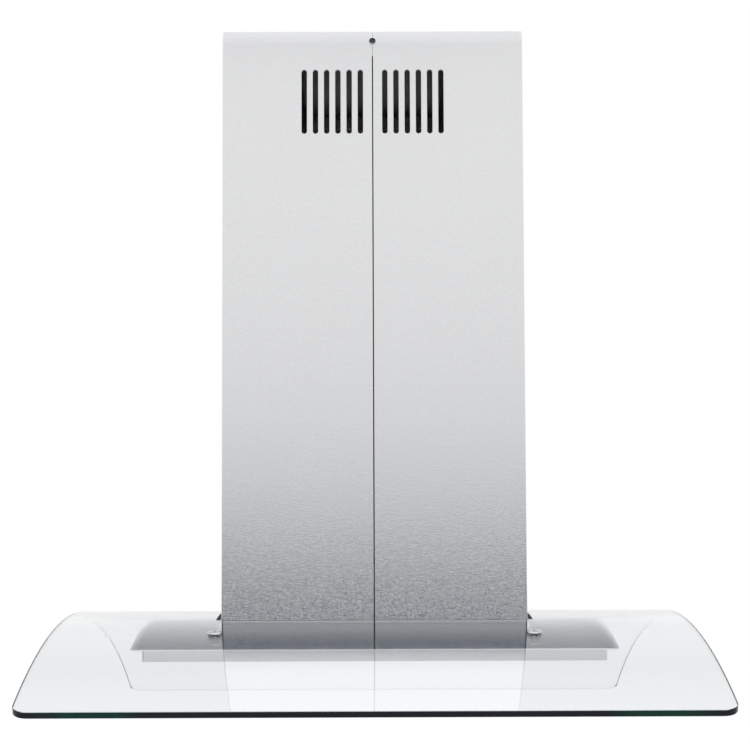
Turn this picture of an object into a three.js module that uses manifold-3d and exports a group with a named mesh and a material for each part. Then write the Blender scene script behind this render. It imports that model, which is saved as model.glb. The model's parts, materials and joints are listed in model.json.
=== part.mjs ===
// Island range hood with an arched glass canopy, hung from the ceiling.
// Millimetres, +Z up. X runs along the glass, the buttons face -Y, and the ceiling is z = 0.
// Heights in the code are measured from the glass datum: the top corner of the glass's two end edges.
import * as THREE from 'three';
import { mergeVertices } from 'three/addons/utils/BufferGeometryUtils.js';
import Module from 'manifold-3d';

const wasm = await Module();
wasm.setup();

// ---- driving dimensions ----
const gap = 0.3; // between pieces that touch
const ceilingHeight = 652; // from the glass datum
const heightTravel = 300; // how far the hood slides down its posts

const glassLength = 900;
const glassDepth = 600;
const glassThickness = 6;
const glassRise = 86;
const glassCornerRadius = 14;
const glassScrewX = 238;
const glassScrewY = 147;

const chimneyHalfX = 156;
const chimneyHalfY = 147.2;
const chimneyWall = 1;
const chimneyBend = 2;
const seamWidth = 1;
const closedSeam = 0.4; // where the two halves meet over the seam tab
const closedSeamHeight = 24.5; // down from the top
const chimneySpacing = 1.8; // between the lower chimney and the upper one inside it
const upperChimneyFoot = 130;

const slotCount = 6;
const slotWidth = 5.2;
const slotLength = 63.6;
const slotPitch = 11;
const firstSlot = 12; // from the seam
const slotTop = ceilingHeight - 38;
const seamHoleDrop = 9.4;
const seamHoleRadius = 3.2;

const bodyBottom = 34.5;
const bodyHalfX = 272;
const bodyHalfY = 210.5;
const plateOverhang = 10;
const plateThickness = 1.2;
const washerThickness = 1.4;
const sheet = 1;

const filterHalfX = 94;
const filterHalfY = 157;
const filterHeight = 9;
const filterX = 98;
const filterBottom = bodyBottom + 1.2;
const panBottom = bodyBottom + 2.2;
const panThickness = 1.2;

const lampX = 234;
const lampY = 150;
const lampRadius = 26;

const buttonCount = 5;
const buttonPitch = 26;
const buttonRadius = 6.5;
const buttonHeight = 53;
const buttonTravel = 2;
const buttonBack = 7; // from the fascia's outer face to a button's inner end

const caseHalfX = 128;
const caseHalfY = 118;
const caseTop = 302;
const caseWall = 1.2;
const fanY = -10;
const fanZ = 186;
const fanRadius = 80;
const fanEyeRadius = 64;
const fanHalfWidth = 52;
const scrollHalfWidth = 60;
const bladeCount = 20;
const shaftRadius = 4;

const collarRadius = 75;
const collarWall = 2;
const collarHeight = 60;
const flapPinHeight = 335;
const flapPinRadius = 1.5;

const upperPostX = 149.8;
const upperPostY = 141;
const upperPostLeg = 25;
const lowerPostLeg = 22;
const lowerPostTop = 600;
const postOverlap = 100; // left when the hood is at its lowest
const upperPostFoot = lowerPostTop - heightTravel - postOverlap;
const postWall = 1.5;

const deflectorHalfX = 148;
const deflectorHalfY = 77;
const deflectorBottom = 545;
const deflectorTop = 644;
const spigotRadius = 75;

// ---- the arch: every curved sheet shares one centre line, high over the body ----
const archRadius = ((glassLength / 2) ** 2 + glassRise ** 2) / (2 * glassRise);
const archCentre = glassRise - archRadius;
const glassUnderside = archRadius - glassThickness;
const plateTopRadius = glassUnderside - washerThickness - 2 * gap;
const plateUnderside = plateTopRadius - plateThickness;

// ---- colours ----
function brushedSteel() {
  return new THREE.MeshStandardMaterial({ color: 0xc9cacc, roughness: 0.34, metalness: 1 });
}
function galvanisedSteel() {
  return new THREE.MeshStandardMaterial({ color: 0x9ea3a6, roughness: 0.5, metalness: 1 });
}
function polishedSteel() {
  return new THREE.MeshStandardMaterial({ color: 0xdcdcda, roughness: 0.15, metalness: 1 });
}
function aluminium() {
  return new THREE.MeshStandardMaterial({ color: 0xb9bcbf, roughness: 0.45, metalness: 1 });
}
function clearGlass() {
  const look = { color: 0xdfeee9, roughness: 0.03, transparent: true, opacity: 0.35 };
  return new THREE.MeshStandardMaterial(look);
}
function frostedLens() {
  const look = { color: 0xf4f2ea, roughness: 0.4, transparent: true, opacity: 0.8 };
  return new THREE.MeshStandardMaterial(look);
}
function blackRubber() {
  return new THREE.MeshStandardMaterial({ color: 0x1b1b1c, roughness: 0.8 });
}
function blackPlastic() {
  return new THREE.MeshStandardMaterial({ color: 0x232426, roughness: 0.55 });
}
function greyPlastic() {
  return new THREE.MeshStandardMaterial({ color: 0x6f7376, roughness: 0.6 });
}
function boardGreen() {
  return new THREE.MeshStandardMaterial({ color: 0x1f6b3c, roughness: 0.5 });
}

// ---- solids ----
function toSolid(geometry) {
  geometry.deleteAttribute('normal');
  geometry.deleteAttribute('uv');
  const merged = mergeVertices(geometry, 1e-4);
  const mesh = new wasm.Mesh({
    numProp: 3,
    vertProperties: new Float32Array(merged.attributes.position.array),
    triVerts: new Uint32Array(merged.index.array),
  });
  return new wasm.Manifold(mesh);
}

function toGeometry(solid) {
  const mesh = solid.getMesh();
  const geometry = new THREE.BufferGeometry();
  geometry.setAttribute('position', new THREE.BufferAttribute(mesh.vertProperties, 3));
  geometry.setIndex(new THREE.BufferAttribute(mesh.triVerts, 1));
  geometry.computeVertexNormals();
  return geometry;
}

function block(lowX, highX, lowY, highY, lowZ, highZ) {
  const box = new THREE.BoxGeometry(highX - lowX, highY - lowY, highZ - lowZ);
  return toSolid(box.translate((lowX + highX) / 2, (lowY + highY) / 2, (lowZ + highZ) / 2));
}

// A block centred on the Z axis.
function centredBlock(halfX, halfY, lowZ, highZ) {
  return block(-halfX, halfX, -halfY, halfY, lowZ, highZ);
}

// An outline drawn in two axes and pushed along the third, named by the axis it is pushed along.
const alongX = [new THREE.Vector3(0, 1, 0), new THREE.Vector3(0, 0, 1), new THREE.Vector3(1, 0, 0)];
const alongY = [new THREE.Vector3(1, 0, 0), new THREE.Vector3(0, 0, 1), new THREE.Vector3(0, -1, 0)];
const alongZ = [new THREE.Vector3(1, 0, 0), new THREE.Vector3(0, 1, 0), new THREE.Vector3(0, 0, 1)];

function pushed(shape, axes, low, high, curveSegments = 6) {
  const options = { depth: high - low, bevelEnabled: false, curveSegments };
  const geometry = new THREE.ExtrudeGeometry(shape, options);
  geometry.translate(0, 0, axes === alongY ? -high : low);
  return toSolid(geometry.applyMatrix4(new THREE.Matrix4().makeBasis(...axes)));
}

function circle(x, y, radius) {
  const shape = new THREE.Shape();
  shape.absarc(x, y, radius, 0, 2 * Math.PI);
  return shape;
}

function roundedRectangle(halfX, halfY, radius) {
  const shape = new THREE.Shape();
  shape.absarc(halfX - radius, halfY - radius, radius, 0, Math.PI / 2);
  shape.absarc(radius - halfX, halfY - radius, radius, Math.PI / 2, Math.PI);
  shape.absarc(radius - halfX, radius - halfY, radius, Math.PI, 1.5 * Math.PI);
  shape.absarc(halfX - radius, radius - halfY, radius, 1.5 * Math.PI, 2 * Math.PI);
  return shape;
}

function slotOutline(x, low, high, width) {
  const radius = width / 2;
  const shape = new THREE.Shape();
  shape.absarc(x, high - radius, radius, 0, Math.PI);
  shape.absarc(x, low + radius, radius, Math.PI, 2 * Math.PI);
  return shape;
}

function polygon(points) {
  return new THREE.Shape(points.map(([x, y]) => new THREE.Vector2(x, y)));
}

// A turned piece about Z from a closed profile of [radius, height] pairs, in anticlockwise order.
function turned(profile, segments) {
  const points = profile.map(([radius, height]) => new THREE.Vector2(radius, height));
  return toSolid(new THREE.LatheGeometry(points, segments).rotateX(Math.PI / 2));
}

// A tube between two heights, with its wall between two radii.
function ring(inner, outer, low, high, segments) {
  return turned([[inner, low], [outer, low], [outer, high], [inner, high], [inner, low]], segments);
}

function disc(radius, low, high, segments) {
  return turned([[0, low], [radius, low], [radius, high], [0, high]], segments);
}

// Points of the arch of one radius, from -halfX to halfX.
function archPoints(radius, halfX, steps) {
  const end = Math.asin(halfX / radius);
  const points = [];
  for (let step = 0; step <= steps; step += 1) {
    const angle = -end + (2 * end * step) / steps;
    points.push([radius * Math.sin(angle), archCentre + radius * Math.cos(angle)]);
  }
  return points;
}

// A curved sheet between two arch radii.
function archSheet(outer, inner, halfX, halfY, steps) {
  const outline = [...archPoints(inner, halfX, steps), ...archPoints(outer, halfX, steps).reverse()];
  return pushed(polygon(outline), alongY, -halfY, halfY);
}

// Everything under the arch of one radius, as a cutter or a limit.
function underArch(radius, halfX) {
  const floor = -100;
  const steps = 24;
  const outline = [[-halfX, floor], [halfX, floor], ...archPoints(radius, halfX, steps).reverse()];
  return pushed(polygon(outline), alongY, -glassDepth, glassDepth);
}

// ---- glass ----
function glassCanopy() {
  const steps = 32;
  const cutGapX = 2;
  const cutGapY = 5;
  const cutCorner = 6;
  const holeRadius = 4;
  const outline = roundedRectangle(glassLength / 2, glassDepth / 2, glassCornerRadius);
  const cut = roundedRectangle(chimneyHalfX + cutGapX, chimneyHalfY + cutGapY, cutCorner);
  outline.holes.push(cut);
  const plan = pushed(outline, alongZ, -50, glassRise + 50, 4);
  const pastEdge = 5;
  const halfX = glassLength / 2 + pastEdge;
  const halfY = glassDepth / 2 + pastEdge;
  let glass = archSheet(archRadius, glassUnderside, halfX, halfY, steps).intersect(plan);
  for (const place of glassScrewPlaces()) glass = glass.subtract(screwBore(place, holeRadius));
  return glass;
}

function glassScrewPlaces() {
  const places = [];
  for (const x of [-glassScrewX, glassScrewX]) {
    for (const y of [-glassScrewY, glassScrewY]) places.push([x, y]);
  }
  return places;
}

// The screws stand square to the curved glass, so each leans away from the middle.
function screwLean(x) {
  return Math.asin(x / archRadius);
}

// The point on a screw's centre line at one radius of the arch.
function screwPoint([x, y], radius) {
  const lean = screwLean(x);
  return [radius * Math.sin(lean), y, archCentre + radius * Math.cos(lean)];
}

function screwBore(place, radius) {
  const reach = 60;
  const bore = new THREE.CylinderGeometry(radius, radius, reach, 8).rotateX(Math.PI / 2);
  return toSolid(bore.rotateY(screwLean(place[0])).translate(...screwPoint(place, archRadius)));
}

// A low cap with a cross recess and a shank, seated on the glass at height 0.
function glassScrew() {
  const capRadius = 7;
  const capHeight = 4.5;
  const shankRadius = 2.5;
  const shankLength = glassThickness + washerThickness + 2 * gap + plateThickness + 5;
  const profile = [
    [0, -shankLength], [shankRadius, -shankLength], [shankRadius, gap], [capRadius, gap],
    [capRadius, capHeight - 1.5], [capRadius - 1.8, capHeight], [0, capHeight],
  ];
  const recess = 1.4;
  const bladeHalf = 0.6;
  const bladeReach = 2.8;
  return turned(profile, 16)
    .subtract(block(-bladeReach, bladeReach, -bladeHalf, bladeHalf, capHeight - recess, capHeight + 1))
    .subtract(block(-bladeHalf, bladeHalf, -bladeReach, bladeReach, capHeight - recess, capHeight + 1));
}

function glassWasher() {
  return ring(3.2, 7, 0, washerThickness, 12);
}

// ---- chimney ----
// A box section without ends, cut at the seam: one half, with its broad face towards -Y. Above seamTop the seam
// is nearly closed.
function chimneyHalf(halfX, halfY, foot, seamTop, top) {
  const section = roundedRectangle(halfX, halfY, chimneyBend);
  const innerBend = chimneyBend - chimneyWall;
  section.holes.push(roundedRectangle(halfX - chimneyWall, halfY - chimneyWall, innerBend));
  const pastEnds = 10;
  let half = pushed(section, alongZ, foot, top, 1);
  const pastSeam = (seam, low, high) => block(-halfX - pastEnds, halfX + pastEnds, -seam / 2, halfY + pastEnds,
    low, high);
  half = half.subtract(pastSeam(seamWidth, foot - pastEnds, seamTop))
    .subtract(pastSeam(closedSeam, seamTop - 1, top + pastEnds));
  for (let slot = 0; slot < slotCount; slot += 1) {
    const outline = slotOutline(-firstSlot - slot * slotPitch, slotTop - slotLength, slotTop, slotWidth);
    half = half.subtract(pushed(outline, alongX, -halfX - pastEnds, halfX + pastEnds, 2));
  }
  return half;
}

function lowerChimneyHalf() {
  const seamHole = circle(0, ceilingHeight - seamHoleDrop, seamHoleRadius);
  return chimneyHalf(chimneyHalfX, chimneyHalfY, bodyBottom, ceilingHeight - closedSeamHeight, ceilingHeight)
    .subtract(pushed(seamHole, alongX, -chimneyHalfX - 10, chimneyHalfX + 10, 6))
    .subtract(underArch(plateTopRadius + gap, chimneyHalfX + 20));
}

// Each upper half has a lip at one end that covers the seam from behind.
function upperChimneyHalf() {
  const inset = chimneyWall + chimneySpacing;
  const top = ceilingHeight - 0.5;
  const lipHalf = 7;
  const lipWall = 0.8;
  const lipTop = ceilingHeight - 32;
  const endInside = chimneyHalfX - inset - chimneyWall;
  const lipOuter = endInside - gap;
  const lip = block(lipOuter - lipWall, lipOuter, -lipHalf, lipHalf, upperChimneyFoot, lipTop)
    .add(block(lipOuter - 0.1, endInside + 0.2, -lipHalf, -seamWidth / 2, upperChimneyFoot, lipTop));
  return chimneyHalf(chimneyHalfX - inset, chimneyHalfY - inset, upperChimneyFoot, top, top).add(lip);
}

// The tab that joins the two halves behind the seam, just inside the lower chimney's end face.
function seamTab() {
  const halfWidth = 15;
  const outer = chimneyHalfX - chimneyWall - gap;
  const thread = circle(0, ceilingHeight - seamHoleDrop + 0.8, 2.3);
  return block(outer - 1.1, outer, -halfWidth, halfWidth, ceilingHeight - closedSeamHeight, ceilingHeight - 0.5)
    .subtract(pushed(thread, alongX, outer - 5, outer + 5, 4));
}

// ---- body ----
function topPlate() {
  const openingHalfX = 105;
  const openingHalfY = 100;
  const holeRadius = 3;
  const cutterTop = glassRise + 20;
  const halfX = bodyHalfX + plateOverhang;
  const halfY = bodyHalfY + plateOverhang;
  let plate = archSheet(plateTopRadius, plateUnderside, halfX, halfY, 24);
  plate = plate.subtract(centredBlock(openingHalfX, openingHalfY, 0, cutterTop));
  for (const place of glassScrewPlaces()) plate = plate.subtract(screwBore(place, holeRadius));
  return plate;
}

function bodyLimit() {
  return underArch(plateUnderside - gap, bodyHalfX + 20);
}

// The rear wall and the two end walls, folded from one strip.
function bodyShell() {
  const front = sheet + gap - bodyHalfY;
  const innerHalfX = bodyHalfX - sheet;
  const outer = block(-bodyHalfX, bodyHalfX, front, bodyHalfY, bodyBottom, glassRise);
  const inner = block(-innerHalfX, innerHalfX, front - 5, bodyHalfY - sheet, bodyBottom - 5, glassRise + 5);
  return outer.subtract(inner).intersect(bodyLimit());
}

function frontFascia() {
  const holeRadius = buttonRadius + 0.4;
  let fascia = block(-bodyHalfX, bodyHalfX, -bodyHalfY, sheet - bodyHalfY, bodyBottom, glassRise);
  for (const x of buttonPlaces()) {
    const hole = circle(x, buttonHeight, holeRadius);
    fascia = fascia.subtract(pushed(hole, alongY, -bodyHalfY - 5, 5 - bodyHalfY));
  }
  return fascia.intersect(bodyLimit());
}

// The flat underside, with a raised lip round each filter opening.
function bottomPan() {
  const edge = sheet + gap;
  const openingHalfX = filterHalfX + 1;
  const openingHalfY = filterHalfY + 1;
  const lip = 4;
  const lipWall = 1;
  const top = panBottom + panThickness;
  let pan = centredBlock(bodyHalfX - edge, bodyHalfY - edge, panBottom, top);
  for (const x of [-filterX, filterX]) {
    const rim = centredBlock(openingHalfX + lipWall, openingHalfY + lipWall, panBottom, top + lip);
    pan = pan.add(rim.translate([x, 0, 0]));
  }
  for (const x of [-filterX, filterX]) {
    pan = pan.subtract(centredBlock(openingHalfX, openingHalfY, 0, glassRise).translate([x, 0, 0]));
  }
  for (const [x, y] of lampPlaces()) {
    pan = pan.subtract(pushed(circle(x, y, lampRadius + 1), alongZ, panBottom - 5, top + 5));
  }
  return pan;
}

// ---- lamps ----
function lampPlaces() {
  const places = [];
  for (const x of [-lampX, lampX]) {
    for (const y of [-lampY, lampY]) places.push([x, y]);
  }
  return places;
}

// A cup that opens downwards, with a flange under the pan. Its flange rests at height 0.
function lampHousing() {
  const flange = 31;
  const flangeThickness = 1.5;
  const cupTop = 10;
  const wall = 1;
  const bore = lampRadius - wall;
  return turned([
    [bore, -flangeThickness], [flange, -flangeThickness], [flange, 0], [lampRadius, 0],
    [lampRadius, cupTop], [0, cupTop], [0, cupTop - wall], [bore, cupTop - wall], [bore, -flangeThickness],
  ], 20);
}

function lampLens() {
  return disc(lampRadius - 1 - gap, -1, 1.5, 20);
}

// ---- grease filters ----
// An aluminium frame with two staggered layers of baffles, and a pocket for its latch at the front.
function greaseFilter() {
  const bar = 11;
  const baffleWidth = 22;
  const bafflePitch = 32;
  const baffleThickness = 1.2;
  const lowerBaffles = 9;
  const pocketHalf = 24;
  const pocketFront = -150;
  const pocketRear = -128;
  const pocketRoof = 7;
  const boltHalf = 8;
  const innerHalfX = filterHalfX - bar;
  const innerHalfY = filterHalfY - bar;
  let filter = centredBlock(filterHalfX, filterHalfY, 0, filterHeight)
    .subtract(centredBlock(innerHalfX, innerHalfY, -5, filterHeight + 5));
  const bafflesFor = (count, height) => {
    for (let index = 0; index < count; index += 1) {
      const y = (index - (count - 1) / 2) * bafflePitch;
      const baffle = centredBlock(innerHalfX + 1, baffleWidth / 2, height, height + baffleThickness);
      filter = filter.add(baffle.translate([0, y, 0]));
    }
  };
  bafflesFor(lowerBaffles, 0.6);
  bafflesFor(lowerBaffles + 1, 6.5);
  const cupHalf = pocketHalf + 6;
  filter = filter.add(block(-cupHalf, cupHalf, -filterHalfY, pocketRear + 6, 0, filterHeight));
  filter = filter.subtract(block(-pocketHalf, pocketHalf, pocketFront, pocketRear, -5, pocketRoof));
  return filter.subtract(block(-boltHalf, boltHalf, -filterHalfY - 5, pocketFront + 1, 2, 6));
}

// The finger bar in the pocket and the bolt that runs out under the front edge.
function filterLatch() {
  const boltHalf = 7.6;
  const barHalf = 20;
  const barFront = -147.5;
  const bolt = block(-boltHalf, boltHalf, 0.4 - filterHalfY, barFront + 0.5, 2.4, 5.6);
  return bolt.add(block(-barHalf, barHalf, barFront, barFront + 4, 0.8, 6.6));
}

// ---- controls ----
function buttonPlaces() {
  const places = [];
  for (let index = 0; index < buttonCount; index += 1) {
    places.push((index - (buttonCount - 1) / 2) * buttonPitch);
  }
  return places;
}

// The trim strip on the outside of the fascia.
function controlTrim() {
  const halfWidth = buttonPitch * (buttonCount / 2) + 8;
  const halfHeight = 11;
  const outline = roundedRectangle(halfWidth, halfHeight, 8);
  for (const x of buttonPlaces()) outline.holes.push(circle(x, 0, buttonRadius + 0.4));
  return pushed(outline, alongY, -bodyHalfY - gap - 1.2, -bodyHalfY - gap);
}

// A push button along +Z: its face is at the top, and a collar behind the fascia keeps it in.
function pushButton() {
  const stem = buttonRadius - 1.5;
  const collar = buttonRadius + 1.5;
  const collarLow = 2;
  const collarHigh = 5;
  const face = 10.8;
  return turned([
    [0, 0], [stem, 0], [stem, collarLow], [collar, collarLow], [collar, collarHigh],
    [buttonRadius, collarHigh], [buttonRadius, face - 0.7], [buttonRadius - 0.7, face], [0, face],
  ], 14);
}

// The board behind the buttons, with one switch block for each.
function switchBoard() {
  const halfWidth = 76;
  const halfHeight = 12;
  const thickness = 1.6;
  const switchHalf = 5;
  const switchDepth = 5;
  const boardFront = -bodyHalfY + buttonBack + buttonTravel + 0.5 + switchDepth;
  let board = block(-halfWidth, halfWidth, boardFront, boardFront + thickness,
    buttonHeight - halfHeight, buttonHeight + halfHeight);
  for (const x of buttonPlaces()) {
    board = board.add(block(x - switchHalf, x + switchHalf, boardFront - switchDepth, boardFront + 0.5,
      buttonHeight - switchHalf, buttonHeight + switchHalf));
  }
  return board;
}

function lampDriver() {
  return block(-45, 45, 166, 200, panBottom + panThickness + gap, panBottom + panThickness + 24);
}

// ---- blower ----
function blowerCase() {
  const flange = 8;
  const outletRadius = collarRadius - collarWall;
  const seat = plateTopRadius + gap;
  const inside = (high) => centredBlock(caseHalfX - caseWall, caseHalfY - caseWall, 40, high);
  const shell = centredBlock(caseHalfX, caseHalfY, 50, caseTop).subtract(inside(caseTop - caseWall));
  const foot = archSheet(seat + caseWall, seat, caseHalfX + flange, caseHalfY + flange, 12)
    .subtract(inside(120));
  return shell.subtract(underArch(seat + caseWall / 2, caseHalfX + 20)).add(foot)
    .subtract(disc(outletRadius, caseTop - 10, caseTop + 10, 28));
}

// The scroll's outline round the fan, drawn in Y and Z, moved inwards by inset.
function scrollOutline(inset) {
  const tongue = Math.PI / 3;
  const tongueRadius = 88;
  const growth = 26;
  const steps = 20;
  const outletTop = caseTop - caseWall - gap;
  const pastTop = inset > 0 ? 10 : 0;
  const points = [];
  for (let step = 0; step <= steps; step += 1) {
    const share = step / steps;
    const angle = tongue + share * (2 * Math.PI - tongue);
    const radius = tongueRadius + growth * share - inset;
    points.push([fanY + radius * Math.cos(angle), fanZ + radius * Math.sin(angle)]);
  }
  points.push([68 - inset, outletTop + pastTop]);
  points.push([-20 + 1.25 * inset, outletTop + pastTop]);
  if (inset > 0) points.push([36.5, 262]);
  return polygon(points);
}

// Half of the scroll, with its inlet. The side is 1 for the half towards +X and -1 for the other.
function scrollHalf(side) {
  const wall = 2;
  const inletRadius = 62;
  const between = (shape, near, far, segments) => {
    const ends = [side * near, side * far].sort((a, b) => a - b);
    return pushed(shape, alongX, ...ends, segments);
  };
  return between(scrollOutline(0), gap / 2, scrollHalfWidth)
    .subtract(between(scrollOutline(wall), -5, scrollHalfWidth - wall))
    .subtract(between(circle(fanY, fanZ, inletRadius), 0, scrollHalfWidth + 5, 10));
}

// The fan wheel about X: two end rings and a centre disc, joined by blades set at an angle.
function fanWheel() {
  const endRing = 3;
  const bladeThickness = 1.6;
  const bladeSet = THREE.MathUtils.degToRad(28);
  const bladeMid = (fanRadius + fanEyeRadius) / 2;
  const bladeHalf = 7.4;
  const hubRadius = 12;
  let wheel = disc(fanRadius - 1, -1, 1, 30);
  wheel = wheel.add(disc(hubRadius, -14, 7, 16));
  for (const side of [-1, 1]) {
    const middle = side * (fanHalfWidth - endRing / 2);
    wheel = wheel.add(ring(fanRadius - 8, fanRadius, middle - endRing / 2, middle + endRing / 2, 30));
  }
  for (let index = 0; index < bladeCount; index += 1) {
    const blade = new THREE.BoxGeometry(2 * bladeHalf, bladeThickness, 2 * fanHalfWidth - 2);
    blade.rotateZ(bladeSet).translate(bladeMid, 0, 0).rotateZ((2 * Math.PI * index) / bladeCount);
    wheel = wheel.add(toSolid(blade));
  }
  return wheel.subtract(disc(shaftRadius + gap, -30, 30, 10));
}

// The motor, its shaft and its bracket lie along X, on the +X side of the wheel.
function motor() {
  const bodyRadius = 42;
  const bossRadius = 14;
  return turned([
    [0, 32], [shaftRadius + gap, 32], [shaftRadius + gap, 8.5], [bossRadius, 8.5], [bossRadius, 14],
    [bodyRadius - 6, 14], [bodyRadius, 20], [bodyRadius, 86], [bodyRadius - 6, 92], [0, 92],
  ], 20);
}

function motorShaft() {
  return disc(shaftRadius, -18, 30, 12);
}

function motorBracket() {
  const bore = 42.4;
  const arms = 3;
  const armReach = 74;
  const seat = scrollHalfWidth + gap;
  let bracket = ring(bore, 45, seat, seat + 16, 20).add(ring(bore, 50, seat, seat + 2, 20));
  for (let index = 0; index < arms; index += 1) {
    const arm = new THREE.BoxGeometry(armReach - 44, 14, 2);
    arm.translate((armReach + 44) / 2, 0, seat + 1).rotateZ((2 * Math.PI * index) / arms + Math.PI / 6);
    bracket = bracket.add(toSolid(arm));
  }
  return bracket;
}

function capacitor() {
  return turned([[0, 0], [17, 0], [17, 44], [15, 46], [5, 46], [5, 50], [0, 50]], 14);
}

// ---- outlet ----
// The collar over the case's outlet, with a narrow seat for the flaps and holes for their pin.
function outletCollar() {
  const base = caseTop + gap;
  const inner = collarRadius - collarWall;
  const flange = 88;
  const seatTop = flapPinHeight - flapPinRadius - 0.5;
  const seatInner = 69;
  const top = base + collarHeight;
  const collar = turned([
    [inner, base], [flange, base], [flange, base + 2], [collarRadius, base + 2], [collarRadius, top],
    [inner, top], [inner, seatTop], [seatInner, seatTop], [seatInner, seatTop - 1.5],
    [inner, seatTop - 1.5], [inner, base],
  ], 28);
  return collar.subtract(pushed(circle(0, flapPinHeight, flapPinRadius + 0.4), alongX, -100, 100, 4));
}

function flapPin() {
  return disc(flapPinRadius, -collarRadius - 1, collarRadius + 1, 10);
}

// Half a disc on the pin's +Y side. It carries the knuckles listed and clears the others.
function backdraftFlap(ownKnuckles, otherKnuckles) {
  const radius = 71;
  const thickness = 1.2;
  const plateStart = 3.2; // from the pin, so that both flaps can stand up together
  const knuckleRadius = 4;
  const free = 0.5;
  let flap = disc(radius, -thickness / 2, thickness / 2, 28)
    .subtract(block(-radius - 5, radius + 5, -radius - 5, plateStart, -5, 5))
    .subtract(block(-radius - 5, -60, -5, knuckleRadius + free, -5, 5))
    .subtract(block(60, radius + 5, -5, knuckleRadius + free, -5, 5));
  for (const [low, high] of otherKnuckles) {
    flap = flap.subtract(block(low - free, high + free, -5, knuckleRadius + free, -5, 5));
  }
  for (const [low, high] of ownKnuckles) {
    flap = flap.add(pushed(circle(0, 0, knuckleRadius), alongX, low, high, 5));
  }
  return flap.subtract(pushed(circle(0, 0, flapPinRadius + 0.4), alongX, -radius - 5, radius + 5, 4));
}

// ---- wiring ----
function junctionBox() {
  return block(72, 122, 66, 112, caseTop + gap, caseTop + 38);
}

function cableGland() {
  return turned([[0, 0], [9, 0], [9, 8], [7.5, 8], [7.5, 18], [4, 20], [4, 6], [0, 6]], 12);
}

// ---- posts and ceiling fixing ----
// Two angle posts at the +X corners: a channel without its middle, and hollow inside.
function postPair(cornerX, cornerY, leg, low, high) {
  const inward = cornerX - postWall;
  return block(cornerX - leg, cornerX, -cornerY, cornerY, low, high)
    .subtract(block(0, inward, postWall - cornerY, cornerY - postWall, low - 5, high + 5))
    .subtract(block(0, cornerX + 5, leg - cornerY, cornerY - leg, low - 5, high + 5));
}

// The two posts at the +X end that stand on the top plate, with feet and a cross bar.
function lowerFrame() {
  const cornerX = upperPostX - postWall - 0.4;
  const cornerY = upperPostY - postWall - 0.4;
  const barLow = 470;
  const barHeight = 20;
  const seat = plateTopRadius + gap;
  const footInX = caseHalfX + 9;
  const footInY = caseHalfY + 9;
  let frame = postPair(cornerX, cornerY, lowerPostLeg, 40, lowerPostTop);
  const barOuter = cornerX - postWall + 0.2;
  frame = frame.add(block(barOuter - 1.6, barOuter, 1 - cornerY, cornerY - 1, barLow, barLow + barHeight));
  frame = frame.subtract(underArch(seat, cornerX + 20));
  const footLimit = block(cornerX - lowerPostLeg, cornerX, -cornerY, cornerY, 40, 120)
    .subtract(block(0, footInX, -footInY, footInY, 30, 130))
    .subtract(block(0, 300, lowerPostLeg - cornerY, cornerY - lowerPostLeg, 30, 130));
  return frame.add(archSheet(seat + postWall, seat, 200, cornerY + 5, 24).intersect(footLimit));
}

// The two posts at the +X end that hang from the ceiling plate, with a cross bar at their feet.
function upperFrame() {
  const top = ceilingHeight - 2 - gap;
  const barLow = upperPostFoot + 5;
  return postPair(upperPostX, upperPostY, upperPostLeg, upperPostFoot, top)
    .add(block(upperPostX - postWall, upperPostX, 2 - upperPostY, upperPostY - 2, barLow, barLow + 20));
}

function ceilingPlate() {
  const thickness = 2;
  const flangeHeight = 22;
  const flangeWall = 1.5;
  const halfX = chimneyHalfX - 2 * chimneyWall - chimneySpacing - 0.5;
  const halfY = chimneyHalfY - 2 * chimneyWall - chimneySpacing - 0.5;
  const holeX = 120;
  const holeY = 95;
  const low = ceilingHeight - thickness - flangeHeight;
  const top = ceilingHeight - thickness;
  let plate = centredBlock(halfX, halfY, low, ceilingHeight)
    .subtract(centredBlock(halfX - flangeWall, halfY - flangeWall, low - 5, top))
    .subtract(disc(80, top - 5, ceilingHeight + 5, 28));
  for (const x of [-holeX, holeX]) {
    for (const y of [-holeY, holeY]) {
      plate = plate.subtract(pushed(circle(x, y, 4), alongZ, top - 5, ceilingHeight + 5, 4));
    }
  }
  return plate;
}

// A box open at both ends behind the vent slots, with a spigot below for the duct.
function airDeflector() {
  const wall = 3;
  const earTop = ceilingHeight - 2 - gap;
  const spigotFoot = 520;
  let deflector = centredBlock(deflectorHalfX, deflectorHalfY, deflectorBottom, deflectorTop);
  deflector = deflector.add(disc(spigotRadius, spigotFoot, deflectorBottom + 1, 28));
  for (const x of [-60, 60]) {
    for (const y of [-deflectorHalfY, deflectorHalfY - wall]) {
      deflector = deflector.add(block(x - 10, x + 10, y, y + wall, deflectorTop - 1, earTop));
    }
  }
  const tunnelLow = deflectorBottom + wall;
  return deflector
    .subtract(centredBlock(deflectorHalfX + 5, deflectorHalfY - wall, tunnelLow, deflectorTop - wall))
    .subtract(disc(spigotRadius - wall, spigotFoot - 5, tunnelLow + 1, 28));
}

// ---- assembly ----
const hood = new THREE.Group();
hood.position.z = -ceilingHeight;

function add(name, solid, material, place = [0, 0, 0], turn = [0, 0, 0]) {
  const mesh = new THREE.Mesh(toGeometry(solid), material);
  mesh.name = name;
  mesh.position.set(...place);
  mesh.rotation.set(...turn);
  hood.add(mesh);
  return mesh;
}

const halfTurn = Math.PI;
const quarterTurn = Math.PI / 2;

add('glass_canopy', glassCanopy(), clearGlass());
glassScrewPlaces().forEach((place, index) => {
  const lean = [0, screwLean(place[0]), 0];
  const washerSeat = plateTopRadius + gap;
  add(`glass_screw_${index + 1}`, glassScrew(), polishedSteel(), screwPoint(place, archRadius), lean);
  add(`glass_washer_${index + 1}`, glassWasher(), blackRubber(), screwPoint(place, washerSeat), lean);
});

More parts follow.
